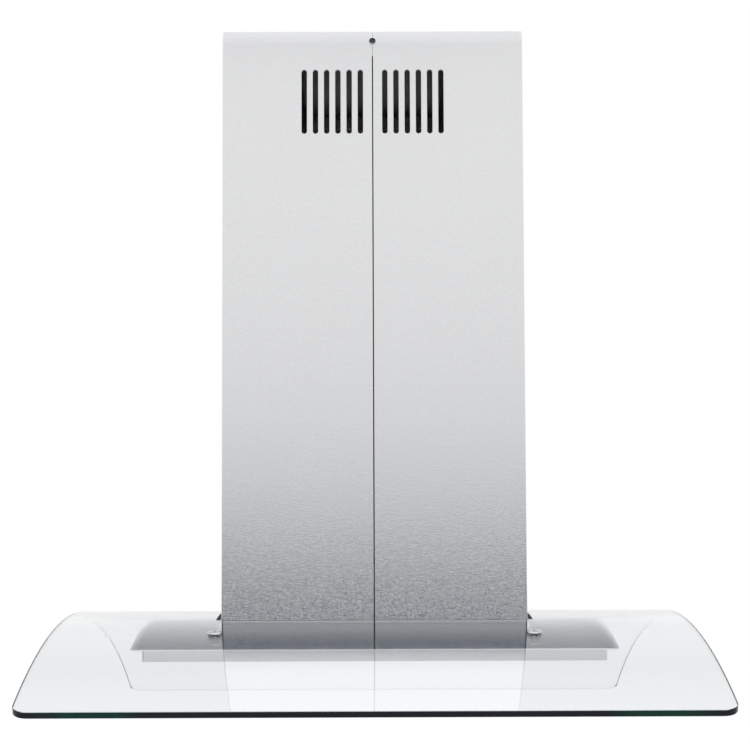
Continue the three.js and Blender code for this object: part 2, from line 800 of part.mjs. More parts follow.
add('chimney_front', lowerChimneyHalf(), brushedSteel());
add('chimney_rear', lowerChimneyHalf(), brushedSteel(), [0, 0, 0], [0, 0, halfTurn]);
add('upper_chimney_front', upperChimneyHalf(), brushedSteel());
add('upper_chimney_rear', upperChimneyHalf(), brushedSteel(), [0, 0, 0], [0, 0, halfTurn]);
add('seam_tab_right', seamTab(), brushedSteel());
add('seam_tab_left', seamTab(), brushedSteel(), [0, 0, 0], [0, 0, halfTurn]);

add('top_plate', topPlate(), brushedSteel());
add('body_shell', bodyShell(), brushedSteel());
add('front_fascia', frontFascia(), brushedSteel());
add('bottom_pan', bottomPan(), brushedSteel());
lampPlaces().forEach(([x, y], index) => {
  const seat = panBottom - gap;
  add(`lamp_housing_${index + 1}`, lampHousing(), polishedSteel(), [x, y, seat]);
  add(`lamp_lens_${index + 1}`, lampLens(), frostedLens(), [x, y, seat]);
});

for (const [side, x] of [['left', -filterX], ['right', filterX]]) {
  add(`grease_filter_${side}`, greaseFilter(), aluminium(), [x, 0, filterBottom]);
  add(`filter_latch_${side}`, filterLatch(), blackPlastic(), [x, 0, filterBottom]);
}

add('control_trim', controlTrim(), polishedSteel(), [0, 0, buttonHeight]);
buttonPlaces().forEach((x, index) => {
  const place = [x, buttonBack - bodyHalfY, buttonHeight];
  add(`button_${index + 1}`, pushButton(), polishedSteel(), place, [quarterTurn, 0, 0]);
});
add('switch_board', switchBoard(), boardGreen());
add('lamp_driver', lampDriver(), blackPlastic());

add('blower_case', blowerCase(), galvanisedSteel());
add('scroll_right', scrollHalf(1), greyPlastic());
add('scroll_left', scrollHalf(-1), greyPlastic());
const fanPlace = [0, fanY, fanZ];
const alongFan = [0, quarterTurn, 0];
add('fan_wheel', fanWheel(), blackPlastic(), fanPlace, alongFan);
add('motor_shaft', motorShaft(), polishedSteel(), fanPlace, alongFan);
add('motor', motor(), galvanisedSteel(), fanPlace, alongFan);
add('motor_bracket', motorBracket(), galvanisedSteel(), fanPlace, alongFan);
add('motor_capacitor', capacitor(), aluminium(), [97, -88, caseTop + gap]);

add('outlet_collar', outletCollar(), blackPlastic());
const outerKnuckles = [[-60, -20], [20, 60]];
const middleKnuckle = [[-18, 18]];
const pinPlace = [0, 0, flapPinHeight];
add('flap_pin', flapPin(), polishedSteel(), pinPlace, alongFan);
add('flap_rear', backdraftFlap(outerKnuckles, middleKnuckle), greyPlastic(), pinPlace);
add('flap_front', backdraftFlap(middleKnuckle, outerKnuckles), greyPlastic(), pinPlace, [0, 0, halfTurn]);

add('junction_box', junctionBox(), greyPlastic());
add('cable_gland', cableGland(), blackPlastic(), [97, 89, caseTop + 38 + gap]);

add('lower_frame_right', lowerFrame(), galvanisedSteel());
add('lower_frame_left', lowerFrame(), galvanisedSteel(), [0, 0, 0], [0, 0, halfTurn]);
add('upper_frame_right', upperFrame(), galvanisedSteel());
add('upper_frame_left', upperFrame(), galvanisedSteel(), [0, 0, 0], [0, 0, halfTurn]);
add('ceiling_plate', ceilingPlate(), galvanisedSteel());
add('air_deflector', airDeflector(), blackPlastic());

export default hood;
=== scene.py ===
import bpy
import bmesh
import json
import math
from mathutils import Matrix, Vector


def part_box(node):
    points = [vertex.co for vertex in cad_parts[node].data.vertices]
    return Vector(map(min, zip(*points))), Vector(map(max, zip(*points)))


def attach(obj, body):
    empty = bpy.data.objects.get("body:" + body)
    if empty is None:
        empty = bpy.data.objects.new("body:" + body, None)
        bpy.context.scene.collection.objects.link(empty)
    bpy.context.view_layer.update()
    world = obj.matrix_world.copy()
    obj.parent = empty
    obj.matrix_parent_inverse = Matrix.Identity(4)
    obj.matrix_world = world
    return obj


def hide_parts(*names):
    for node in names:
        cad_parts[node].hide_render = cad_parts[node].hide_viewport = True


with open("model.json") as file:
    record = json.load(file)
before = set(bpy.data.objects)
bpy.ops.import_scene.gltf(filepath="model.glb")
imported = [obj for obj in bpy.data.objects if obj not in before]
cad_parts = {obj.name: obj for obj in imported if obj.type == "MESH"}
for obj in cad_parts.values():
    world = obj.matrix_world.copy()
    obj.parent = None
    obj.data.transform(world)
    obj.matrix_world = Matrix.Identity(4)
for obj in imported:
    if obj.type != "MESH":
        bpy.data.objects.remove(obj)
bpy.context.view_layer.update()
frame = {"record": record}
record = frame["record"]
mm = 0.001

bodyOf = {}
for bodyName, members in record["behaviour"]["bodies"].items():
    for memberName in members:
        bodyOf[memberName] = bodyName


# The hood hangs over nothing, so the floor lies well below it.
studio = {
    "floorDrop": 0.95,  # below the lowest point of the glass
    "floorRadius": 12.0,
    "floorColour": (0.86, 0.865, 0.87, 1),
    "floorMirrored": 0.97,  # how bright metal and glass show the floor
    "diffuseSky": 0.62,
    "keyLamp": {"place": (2.4, -2.6, 1.6), "size": 2.2, "watts": 62},
    "fillLamp": {"place": (1.8, 2.9, 0.9), "size": 2.4, "watts": 38},
    "backLamp": {"place": (-2.8, 0.6, 1.9), "size": 2.4, "watts": 40},
    # What glass and steel mirror: (degrees above the horizon, brightness). The camera is on the near side.
    "nearSide": [(-90, 0.8), (-8, 0.7), (-4, 0.45), (-2, 0.1), (0, 0.02), (0.8, 0.09), (1.6, 0.56),
                 (3.5, 0.83), (6.5, 0.89), (9, 0.93), (13, 0.96), (15, 1.05), (16.5, 1.6), (18, 0.8),
                 (21, 0.3), (27, 0.12), (30, 0.3), (34, 0.9), (40, 1.05), (60, 1.0), (90, 0.8)],
    # the near side again, as steel shows it in the glass and in the plate
    "nearSideAgain": [(-90, 0.5), (0, 0.45), (10, 0.45), (15, 0.46), (20, 0.44), (23, 0.34), (25, 0.2),
                      (27, 0.05), (29, 0.06), (30.5, 0.4), (32, 1.05), (36, 1.25), (60, 1.25), (90, 0.8)],
    "farSide": [(-90, 0.8), (0, 1.08), (7, 1.06), (11, 1.0), (15, 0.9), (17.5, 0.83), (20, 0.77),
                (23, 0.75), (27, 0.67), (30, 0.6), (35, 0.47), (60, 0.4), (90, 0.6)],
    # the far side for a ray that has been under the glass
    "farSideUnderGlass": [(-90, 0.8), (0, 1.0), (11, 0.8), (15, 0.5), (20, 0.2), (24, 0.06), (29, 0.06),
                          (31, 0.9), (60, 1.0), (90, 0.8)],
    "darkAside": (0.01, 0.011, 0.013, 1),  # to the left and right of the near side, when mirrored twice
    "sideBlend": (-0.7, 0.1),  # where along X the far side gives way to the near side
    "asideBlend": (0.25, 0.6),  # how far along Y the dark begins and is full
    "glassCrossings": 2.5,  # more crossings than this, and the ray has been under the glass
    "lampTarget": (0, 0, -0.45),
    "darkTint": (0, 0.018, 0.05, 1),  # what the darkest parts of the mirrored surroundings still hold
}

view = {
    "place": (2.2055, -0.004, -0.5841),
    "turn": -0.144,  # degrees away from looking along -X
    "pitch": 4.783,  # degrees above the horizon
    "roll": -0.205,
    "lens": 102.1,
    "shift": 0.1,
}


def newMaterial(name):
    material = bpy.data.materials.new(name)
    material.use_nodes = True
    return material, material.node_tree, material.node_tree.nodes["Principled BSDF"]


def addNode(tree, kind, settings=None, **inputs):
    # Inputs are given by name, with spaces left out: a number sets the socket and a socket is linked to it.
    made = tree.nodes.new("ShaderNode" + kind)
    for key, value in (settings or {}).items():
        setattr(made, key, value)
    byName = {socket.name.replace(" ", ""): socket for socket in reversed(made.inputs)}
    for key, value in inputs.items():
        socket = made.inputs[int(key[1:])] if key[0] == "_" else byName[key]
        if isinstance(value, bpy.types.NodeSocket):
            tree.links.new(value, socket)
        else:
            socket.default_value = value
    return made


def maths(tree, operation, first, second=0.0, third=None):
    inputs = {"_0": first, "_1": second}
    if third is not None:
        inputs["_2"] = third
    return addNode(tree, "Math", {"operation": operation}, **inputs).outputs[0]


def blendOf(tree, share, first, second):
    made = addNode(tree, "Mix", {"data_type": "RGBA"})
    for socket, value in ((made.inputs[0], share), (made.inputs[6], first), (made.inputs[7], second)):
        if isinstance(value, bpy.types.NodeSocket):
            tree.links.new(value, socket)
        else:
            socket.default_value = value
    return made.outputs[2]


def newGroup(name, inputs, outputs):
    # Inputs are (name, kind, default) and outputs are (name, kind).
    group = bpy.data.node_groups.new(name, "ShaderNodeTree")
    for title, kind, default in inputs:
        socket = group.interface.new_socket(title, in_out="INPUT", socket_type="NodeSocket" + kind)
        socket.default_value = default
    for title, kind in outputs:
        group.interface.new_socket(title, in_out="OUTPUT", socket_type="NodeSocket" + kind)
    return group, group.nodes.new("NodeGroupInput").outputs, group.nodes.new("NodeGroupOutput").inputs


def useGroup(tree, group, **inputs):
    return addNode(tree, "Group", {"node_tree": group}, **inputs).outputs


def objectPlace(tree):
    return addNode(tree, "TexCoord").outputs["Object"]


def aboutHalf(tree, value, amount):
    # How far a value is from one half, times an amount.
    return maths(tree, "MULTIPLY", maths(tree, "SUBTRACT", value, 0.5), amount)


def brushedLines():
    group, given, result = newGroup(
        "Brushed Lines",
        [("Line Density", "Vector", (45, 45, 1100)), ("Contrast", "Float", 0.1),
         ("Base Roughness", "Float", 0.3)],
        [("Shade", "Float"), ("Roughness", "Float"), ("Height", "Float")])
    where = objectPlace(group)
    stretched = addNode(group, "VectorMath", {"operation": "MULTIPLY"}, _0=where,
                        _1=given["Line Density"]).outputs[0]
    fine = addNode(group, "TexNoise", Vector=stretched, Scale=1.0, Detail=3.0, Roughness=0.65).outputs[0]
    wider = addNode(group, "VectorMath", {"operation": "MULTIPLY"}, _0=stretched,
                    _1=(2.1, 2.1, 0.23)).outputs[0]
    broad = addNode(group, "TexNoise", Vector=wider, Scale=1.0, Detail=2.0, Roughness=0.5).outputs[0]
    lines = maths(group, "ADD", maths(group, "MULTIPLY", fine, 0.65), maths(group, "MULTIPLY", broad, 0.35))
    swing = aboutHalf(group, lines, given["Contrast"])
    group.links.new(maths(group, "ADD", swing, 1.0), result["Shade"])
    group.links.new(maths(group, "ADD", maths(group, "MULTIPLY", swing, 0.8), given["Base Roughness"]),
                    result["Roughness"])
    group.links.new(lines, result["Height"])
    return group


def handlingMarks():
    # Broad cloudy change where cloths and hands have been.
    group, given, result = newGroup(
        "Handling Marks", [("Size", "Float", 9.0), ("Strength", "Float", 0.04)], [("Change", "Float")])
    where = objectPlace(group)
    cloud = addNode(group, "TexNoise", Vector=where, Scale=given["Size"], Detail=4.0, Roughness=0.6,
                    Distortion=0.6).outputs[0]
    group.links.new(aboutHalf(group, cloud, given["Strength"]),
                    result["Change"])
    return group


def zincSpangle():
    group, given, result = newGroup(
        "Zinc Spangle", [("Size", "Float", 90.0), ("Contrast", "Float", 0.25)],
        [("Shade", "Float"), ("Roughness", "Float")])
    where = objectPlace(group)
    bent = addNode(group, "TexNoise", Vector=where, Scale=60.0, Detail=2.0).outputs[1]
    shifted = addNode(group, "VectorMath", {"operation": "MULTIPLY_ADD"}, _0=bent,
                      _1=(0.012, 0.012, 0.012), _2=where).outputs[0]
    cells = addNode(group, "TexVoronoi", Vector=shifted, Scale=given["Size"]).outputs["Color"]
    tone = addNode(group, "SeparateColor", Color=cells).outputs[0]
    swing = aboutHalf(group, tone, given["Contrast"])
    group.links.new(maths(group, "ADD", swing, 1.0), result["Shade"])
    group.links.new(maths(group, "ADD", maths(group, "MULTIPLY", swing, -0.5), 0.42), result["Roughness"])
    return group


def mouldGrain():
    group, given, result = newGroup(
        "Mould Grain", [("Grain Size", "Float", 1500.0), ("Speckle", "Float", 0.12)],
        [("Shade", "Float"), ("Height", "Float")])
    where = objectPlace(group)
    grain = addNode(group, "TexNoise", Vector=where, Scale=given["Grain Size"], Detail=2.0).outputs[0]
    cloud = addNode(group, "TexNoise", Vector=where, Scale=14.0, Detail=3.0).outputs[0]
    mixed = maths(group, "ADD", maths(group, "MULTIPLY", grain, 0.5), maths(group, "MULTIPLY", cloud, 0.5))
    swing = aboutHalf(group, mixed, given["Speckle"])
    group.links.new(maths(group, "ADD", swing, 1.0), result["Shade"])
    group.links.new(grain, result["Height"])
    return group


def settledDust():
    # More on faces that look up, and patchy.
    group, given, result = newGroup("Settled Dust", [("Amount", "Float", 0.15)], [("Mask", "Float")])
    facing = addNode(group, "NewGeometry").outputs["Normal"]
    up = addNode(group, "SeparateXYZ", Vector=facing).outputs[2]
    where = objectPlace(group)
    patch = addNode(group, "TexNoise", Vector=where, Scale=55.0, Detail=5.0, Roughness=0.7).outputs[0]
    lying = addNode(group, "MapRange", _0=up, _1=0.2, _2=1.0).outputs[0]
    group.links.new(maths(group, "MULTIPLY", maths(group, "MULTIPLY", lying, patch), given["Amount"]),
                    result["Mask"])
    return group


effects = {
    "lines": brushedLines(),
    "marks": handlingMarks(),
    "spangle": zincSpangle(),
    "grain": mouldGrain(),
    "dust": settledDust(),
}


def tinted(tree, colour, shade):
    # The colour made darker and lighter by a value around 1.
    plain = addNode(tree, "RGB")
    plain.outputs[0].default_value = (*colour, 1)
    return addNode(tree, "VectorMath", {"operation": "SCALE"}, _0=plain.outputs[0], _3=shade).outputs[0]


def steelFinish(name, colour, density, contrast=0.12, roughness=0.3, depth=0.02, marks=0.03, paintedTopGlow=None):
    # The last argument paints a highlight: a depth below the ceiling and how much brighter the sheet is
    # painted towards its top edge.
    material, tree, shader = newMaterial(name)
    lines = useGroup(tree, effects["lines"], LineDensity=density, Contrast=contrast,
                     BaseRoughness=roughness)
    cloud = useGroup(tree, effects["marks"], Strength=marks)["Change"]
    shader.inputs["Metallic"].default_value = 1.0
    shade = lines["Shade"]
    if paintedTopGlow:
        where = objectPlace(tree)
        height = addNode(tree, "SeparateXYZ", Vector=where).outputs[2]
        paintedGlow = addNode(tree, "MapRange", _0=height, _1=-paintedTopGlow[0], _2=0.0, _3=1.0,
                           _4=1 + paintedTopGlow[1]).outputs[0]
        shade = maths(tree, "MULTIPLY", shade, paintedGlow)
    tree.links.new(tinted(tree, colour, shade), shader.inputs["Base Color"])
    tree.links.new(maths(tree, "ADD", lines["Roughness"], cloud), shader.inputs["Roughness"])
    bump = addNode(tree, "Bump", Strength=depth, Distance=0.0004, Height=lines["Height"])
    tree.links.new(bump.outputs[0], shader.inputs["Normal"])
    return material


def zincFinish(name, colour, contrast=0.25):
    material, tree, shader = newMaterial(name)
    spangle = useGroup(tree, effects["spangle"], Contrast=contrast)
    dust = useGroup(tree, effects["dust"], Amount=0.25)["Mask"]
    shader.inputs["Metallic"].default_value = 1.0
    sheet = tinted(tree, colour, spangle["Shade"])
    tree.links.new(blendOf(tree, dust, sheet, (0.5, 0.48, 0.45, 1)), shader.inputs["Base Color"])
    tree.links.new(maths(tree, "ADD", spangle["Roughness"], maths(tree, "MULTIPLY", dust, 0.5)),
                   shader.inputs["Roughness"])
    return material


def polishedFinish(name, colour, roughness=0.12):
    material, tree, shader = newMaterial(name)
    cloud = useGroup(tree, effects["marks"], Size=40.0, Strength=0.08)["Change"]
    shader.inputs["Metallic"].default_value = 1.0
    tree.links.new(tinted(tree, colour, maths(tree, "ADD", cloud, 1.0)), shader.inputs["Base Color"])
    tree.links.new(maths(tree, "ADD", cloud, roughness), shader.inputs["Roughness"])
    return material


def plasticFinish(name, colour, roughness=0.5, dusty=0.12, depth=0.15, grain=1500.0):
    material, tree, shader = newMaterial(name)
    skin = useGroup(tree, effects["grain"], GrainSize=grain)
    dust = useGroup(tree, effects["dust"], Amount=dusty)["Mask"]
    cloud = useGroup(tree, effects["marks"], Size=20.0, Strength=0.12)["Change"]
    moulded = tinted(tree, colour, skin["Shade"])
    tree.links.new(blendOf(tree, dust, moulded, (0.42, 0.4, 0.37, 1)), shader.inputs["Base Color"])
    tree.links.new(maths(tree, "ADD", cloud, roughness), shader.inputs["Roughness"])
    bump = addNode(tree, "Bump", Strength=depth, Distance=0.0002, Height=skin["Height"])
    tree.links.new(bump.outputs[0], shader.inputs["Normal"])
    return material


def clearGlass():
    material, tree, shader = newMaterial("clear_glass")
    cloud = useGroup(tree, effects["marks"], Size=6.0, Strength=0.012)["Change"]
    tree.links.new(tinted(tree, (0.965, 0.985, 1.0), maths(tree, "ADD", cloud, 1.0)),
                   shader.inputs["Base Color"])
    shader.inputs["Roughness"].default_value = 0.0
    shader.inputs["IOR"].default_value = 1.38
    shader.inputs["Transmission Weight"].default_value = 1.0
    return material


def edgeToneAndPaintedLight(name, middle, ends, gloss, roughness, seenInside):
    # An opaque colour for an edge of the glass: a middle colour, and a painted tint before each corner. On
    # the polished edges this is painted shade and painted reflection: light is trapped along the sheet, so
    # a polished edge looks nearly black, with a green stretch before each corner. seenInside is how much of
    # it shows from inside the glass.
    material, tree, shader = newMaterial(name)
    where = objectPlace(tree)
    across = maths(tree, "ABSOLUTE", addNode(tree, "SeparateXYZ", Vector=where).outputs[1])
    rising = addNode(tree, "MapRange", _0=across, _1=0.19, _2=0.215).outputs[0]
    falling = addNode(tree, "MapRange", _0=across, _1=0.285, _2=0.255).outputs[0]
    share = maths(tree, "MULTIPLY", rising, falling)
    cloud = useGroup(tree, effects["marks"], Size=30.0, Strength=0.6)["Change"]
    deep = blendOf(tree, share, (*middle, 1), (*ends, 1))
    shade = addNode(tree, "VectorMath", {"operation": "SCALE"}, _0=deep,
                    _3=maths(tree, "ADD", cloud, 1.0)).outputs[0]
    tree.links.new(shade, shader.inputs["Base Color"])
    inside = addNode(tree, "NewGeometry").outputs["Backfacing"]
    tree.links.new(maths(tree, "SUBTRACT", 1.0, maths(tree, "MULTIPLY", inside, 1 - seenInside)),
                   shader.inputs["Alpha"])
    shader.inputs["Roughness"].default_value = roughness
    shader.inputs["Specular IOR Level"].default_value = gloss
    return material


def clearSilicone():
    material, tree, shader = newMaterial("clear_silicone")
    cloud = useGroup(tree, effects["marks"], Size=60.0, Strength=0.1)["Change"]
    tree.links.new(tinted(tree, (0.93, 0.94, 0.94), maths(tree, "ADD", cloud, 1.0)),
                   shader.inputs["Base Color"])
    shader.inputs["Roughness"].default_value = 0.08
    shader.inputs["IOR"].default_value = 1.41
    shader.inputs["Transmission Weight"].default_value = 0.95
    return material


def frostedLens():
    material, tree, shader = newMaterial("frosted_lens")
    skin = useGroup(tree, effects["grain"], GrainSize=2200.0, Speckle=0.06)
    tree.links.new(tinted(tree, (0.9, 0.9, 0.87), skin["Shade"]), shader.inputs["Base Color"])
    bump = addNode(tree, "Bump", Strength=0.3, Distance=0.0002, Height=skin["Height"])
    tree.links.new(bump.outputs[0], shader.inputs["Normal"])
    shader.inputs["Roughness"].default_value = 0.35
    shader.inputs["Transmission Weight"].default_value = 0.35
    return material


finishes = {
    "glass": clearGlass(),
    # Painted light on the glass edges: glass_edge and glass_side_edge are painted shade with a painted
    # green reflection, glass_arris and cut_arris are painted highlights.
    "glassEdge": edgeToneAndPaintedLight("glass_edge", (0.008, 0.0095, 0.013), (0.003, 0.03, 0.022), 0.14, 0.12, 0.1),
    "glassSideEdge": edgeToneAndPaintedLight("glass_side_edge", (0.008, 0.0095, 0.013), (0.006, 0.012, 0.013), 0.12, 0.12,
                               0.9),
    "glassArris": edgeToneAndPaintedLight("glass_arris", (0.5, 0.55, 0.56), (0.45, 0.55, 0.53), 0.8, 0.15, 0.35),
    "groundEdge": edgeToneAndPaintedLight("ground_edge", (0.2, 0.225, 0.23), (0.2, 0.225, 0.23), 0.4, 0.45, 0.15),
    "cutArris": edgeToneAndPaintedLight("cut_arris", (0.85, 0.88, 0.9), (0.85, 0.88, 0.9), 0.8, 0.3, 0.9),
    # The chimney steel carries a painted highlight towards its top edge.
    "chimneySteel": steelFinish("brushed_steel", (0.795, 0.798, 0.805), (260, 260, 1250), contrast=0.4,
                                roughness=0.15, depth=0.095, paintedTopGlow=(13 * mm, 0.17)),
    "plateSteel": steelFinish("plate_steel", (0.78, 0.783, 0.79), (900, 30, 900), roughness=0.12,
                              depth=0.005),
    "bodySteel": steelFinish("body_steel", (0.83, 0.833, 0.84), (40, 40, 1100), roughness=0.42),
    "panSteel": steelFinish("pan_steel", (0.76, 0.765, 0.775), (30, 1100, 1100), roughness=0.32),
    "polished_steel": polishedFinish("polished_steel", (0.83, 0.83, 0.82)),
    "galvanised_steel": zincFinish("galvanised_steel", (0.58, 0.6, 0.62)),
    "aluminium": steelFinish("aluminium", (0.72, 0.73, 0.74), (8, 500, 500), contrast=0.2, roughness=0.4),
    "rubber": plasticFinish("rubber", (0.02, 0.02, 0.021), roughness=0.7),
    "silicone": clearSilicone(),
    # Painted shade: a near-black colour for the chimney seam's lip and the strap's screw hole.
    "felt": plasticFinish("painted_shade_dark", (0.035, 0.035, 0.037), roughness=0.95, depth=0.5, grain=3500.0),
    "black_plastic": plasticFinish("black_plastic", (0.045, 0.045, 0.047), roughness=0.48),
    "deflector_plastic": plasticFinish("deflector_plastic", (0.062, 0.062, 0.064), roughness=0.5),
    # Painted shade: the seam strap's dull grey colour.
    "strap_painted_shade": plasticFinish("strap_painted_shade", (0.3, 0.302, 0.307), roughness=0.5),
    "grey_plastic": plasticFinish("grey_plastic", (0.2, 0.21, 0.22), roughness=0.52),
    "lamp_lens": frostedLens(),
    "circuit_board": plasticFinish("circuit_board", (0.012, 0.12, 0.045), roughness=0.3, depth=0.05),
}
print("finishes made:", len(finishes))


def fromShape(shape):
    mesh = bpy.data.meshes.new("piece")
    shape.to_mesh(mesh)
    shape.free()
    return mesh


def joined(*shapes):
    whole = bmesh.new()
    for shape in shapes:
        mesh = fromShape(shape)
        whole.from_mesh(mesh)
        bpy.data.meshes.remove(mesh)
    return whole


corners = [(-1, -1), (-1, 1), (1, -1), (1, 1)]
sharpAngle = math.radians(32)  # edges turned further than this stay sharp in the shading


def newPiece(name, node, shapes, *finishNames):
    # A piece takes its body from the CAD node that it stands for.
    mesh = fromShape(joined(*shapes))
    piece = bpy.data.objects.new(name, mesh)
    bpy.context.scene.collection.objects.link(piece)
    for finishName in finishNames:
        mesh.materials.append(finishes[finishName])
    for polygon in mesh.polygons:
        polygon.use_smooth = True
    mesh.set_sharp_from_angle(angle=sharpAngle)
    evenShading = piece.modifiers.new("even_shading", "WEIGHTED_NORMAL")
    evenShading.keep_sharp = True
    evenShading.weight = 100
    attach(piece, bodyOf[node])
    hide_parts(node)


def sharpEdges(shape, angle):
    limit = math.radians(angle)
    return [edge for edge in shape.edges if len(edge.link_faces) == 2 and edge.calc_face_angle(0) > limit]


def roundEdges(shape, edges, width, segments=2, material=-1):
    bmesh.ops.bevel(shape, geom=list(edges), offset=width, offset_type="OFFSET", affect="EDGES",
                    segments=segments,
                    profile=0.5, material=material, clamp_overlap=True)


# An outline is a loop of edges in the XY plane of a shape that holds nothing else yet but outlines.
def rectangleOutline(shape, halfX, halfY, corner=0.0, centre=(0, 0), steps=6):
    made = bmesh.ops.create_grid(shape, x_segments=1, y_segments=1, size=1)["verts"]
    bmesh.ops.scale(shape, vec=(halfX, halfY, 1), verts=made)
    bmesh.ops.translate(shape, vec=(*centre, 0), verts=made)
    if corner:
        bmesh.ops.bevel(shape, geom=made, offset=corner, offset_type="OFFSET", affect="VERTICES",
                        segments=steps,
                        profile=0.5, material=-1, clamp_overlap=False)
    bmesh.ops.delete(shape, geom=shape.faces[:], context="FACES_ONLY")


def slotOutline(shape, halfX, halfY, centre, steps=4):
    # A slot with round ends, whose corners stop just short of meeting.
    rectangleOutline(shape, halfX, halfY, 0.999 * min(halfX, halfY), centre, steps)


def circleOutline(shape, radius, centre=(0, 0), steps=32):
    bmesh.ops.create_circle(shape, cap_ends=False, radius=radius, segments=steps,
                            matrix=Matrix.Translation((*centre, 0)))


def loopOutline(shape, points):
    loop = [shape.verts.new((x, y, 0)) for x, y in points]
    for pair in zip(loop, loop[1:] + loop[:1]):
        shape.edges.new(pair)


def arcPoints(centre, radius, start, end, steps):
    # Angles in degrees.
    points = []
    for step in range(steps + 1):
        angle = math.radians(start + (end - start) * step / steps)
        points.append((centre[0] + radius * math.cos(angle), centre[1] + radius * math.sin(angle)))
    return points


def fillOutlines(shape):
    bmesh.ops.triangle_fill(shape, use_beauty=True, use_dissolve=False, edges=shape.edges[:],
                            normal=(0, 0, 1))
    bmesh.ops.recalc_face_normals(shape, faces=shape.faces[:])
    if shape.faces[0].normal.z < 0:
        bmesh.ops.reverse_faces(shape, faces=shape.faces[:])


def cutAcross(shape, places):
    # Cuts a flat shape along X at each place.
    for x in places:
        bmesh.ops.bisect_plane(shape, geom=shape.verts[:] + shape.edges[:] + shape.faces[:], dist=1e-7,
                               plane_co=(x, 0, 0), plane_no=(1, 0, 0))


def joinStrips(shape, low, high):
    # Turns the triangles between two neighbouring cuts into whole strips, from low to high in X.
    between = []
    for edge in shape.edges:
        first, last = edge.verts[0].co.x, edge.verts[1].co.x
        inside = low - 1e-6 <= min(first, last) and max(first, last) <= high + 1e-6
        if len(edge.link_faces) == 2 and inside and abs(first - last) > 1e-6:
            between.append(edge)
    bmesh.ops.dissolve_edges(shape, edges=between, use_verts=False, use_face_split=False)
    straight = [vert for vert in shape.verts
                if len(vert.link_edges) == 2 and vert.calc_edge_angle(0) < 1e-3]
    bmesh.ops.dissolve_verts(shape, verts=straight)


def cutEvenly(shape, half, stripe):
    # Strips of one width, counted from the middle.
    count = math.ceil(half / stripe - 0.001) - 1
    cutAcross(shape, [stripe * index for index in range(-count, count + 1)])
    joinStrips(shape, -half, half)


def faceOutwards(shape):
    bmesh.ops.recalc_face_normals(shape, faces=shape.faces[:])
    if shape.calc_volume(signed=True) < 0:
        bmesh.ops.reverse_faces(shape, faces=shape.faces[:])


def madeOf(made, kind):
    return [item for item in made if isinstance(item, kind)]


def thicken(shape, step):
    # Pushes a copy of every face by step, a function of a vertex's place, and closes the sides.
    made = bmesh.ops.extrude_face_region(shape, geom=shape.faces[:], use_keep_orig=True)["geom"]
    for vert in madeOf(made, bmesh.types.BMVert):
        vert.co += step(vert.co)
    faceOutwards(shape)


def upwards(height):
    return lambda point: Vector((0, 0, height))


def moved(shape, place=(0, 0, 0), turn=None):
    matrix = Matrix.Translation(place) @ (turn if turn is not None else Matrix.Identity(4))
    bmesh.ops.transform(shape, matrix=matrix, verts=shape.verts)
    return shape


def towards(axis):
    # The turn that takes the Z axis to another one.
    return Vector((0, 0, 1)).rotation_difference(Vector(axis)).to_matrix().to_4x4()


def halfTurn(turned):
    return Matrix.Rotation(math.pi if turned else 0, 4, "Z")


def inMillimetres(*pairs):
    return [(first * mm, second * mm) for first, second in pairs]


def spunShape(profile, steps=48, centre=(0, 0, 0), axis=(0, 0, 1)):
    # Turns a profile of (radius, height) pairs about an axis through the centre. The heights run along it.
    shape = bmesh.new()
    points = [shape.verts.new((radius, 0, height)) for radius, height in profile]
    edges = [shape.edges.new(pair) for pair in zip(points, points[1:])]
    bmesh.ops.spin(shape, geom=points + edges, cent=(0, 0, 0), axis=(0, 0, 1), angle=2 * math.pi,
                   steps=steps,
                   use_merge=True)
    bmesh.ops.remove_doubles(shape, verts=shape.verts, dist=0.002 * mm)
    bmesh.ops.recalc_face_normals(shape, faces=shape.faces[:])
    return moved(shape, centre, towards(axis))


faceY = Matrix.Rotation(math.pi / 2, 4, "X")  # stands a plan up in X and Z, with its height running to -Y
faceX = Matrix.Rotation(math.pi / 2, 4, "Z") @ faceY  # the same in Y and Z, with its height running to +X


def painted(shape, index):
    for face in shape.faces:
        face.material_index = index
    return shape


def solidBox(low, high, edge=0.4 * mm, segments=2):
    shape = bmesh.new()
    bmesh.ops.create_cube(shape, size=1)
    low, high = Vector(low), Vector(high)
    bmesh.ops.scale(shape, vec=high - low, verts=shape.verts)
    bmesh.ops.translate(shape, vec=(low + high) / 2, verts=shape.verts)
    if edge:
        roundEdges(shape, shape.edges[:], edge, segments)
    return shape


def flatPlate(outlines, thickness, edge=0.3 * mm, place=(0, 0, 0), turn=None):
    # outlines draws the loops, and the plate's height runs up from them.
    shape = bmesh.new()
    outlines(shape)
    fillOutlines(shape)
    thicken(shape, upwards(thickness))
    if edge:
        roundEdges(shape, sharpEdges(shape, 50), edge)
    return moved(shape, place, turn)


def ringShape(inner, outer, low, high, edge=0.2 * mm, steps=32, place=(0, 0, 0), axis=(0, 0, 1)):
    # A turned ring whose four corners are broken.
    profile = [(inner + edge, low), (outer - edge, low), (outer, low + edge), (outer, high - edge),
               (outer - edge, high), (inner + edge, high), (inner, high - edge), (inner, low + edge),
               (inner + edge, low)]
    return spunShape(profile, steps, place, axis)


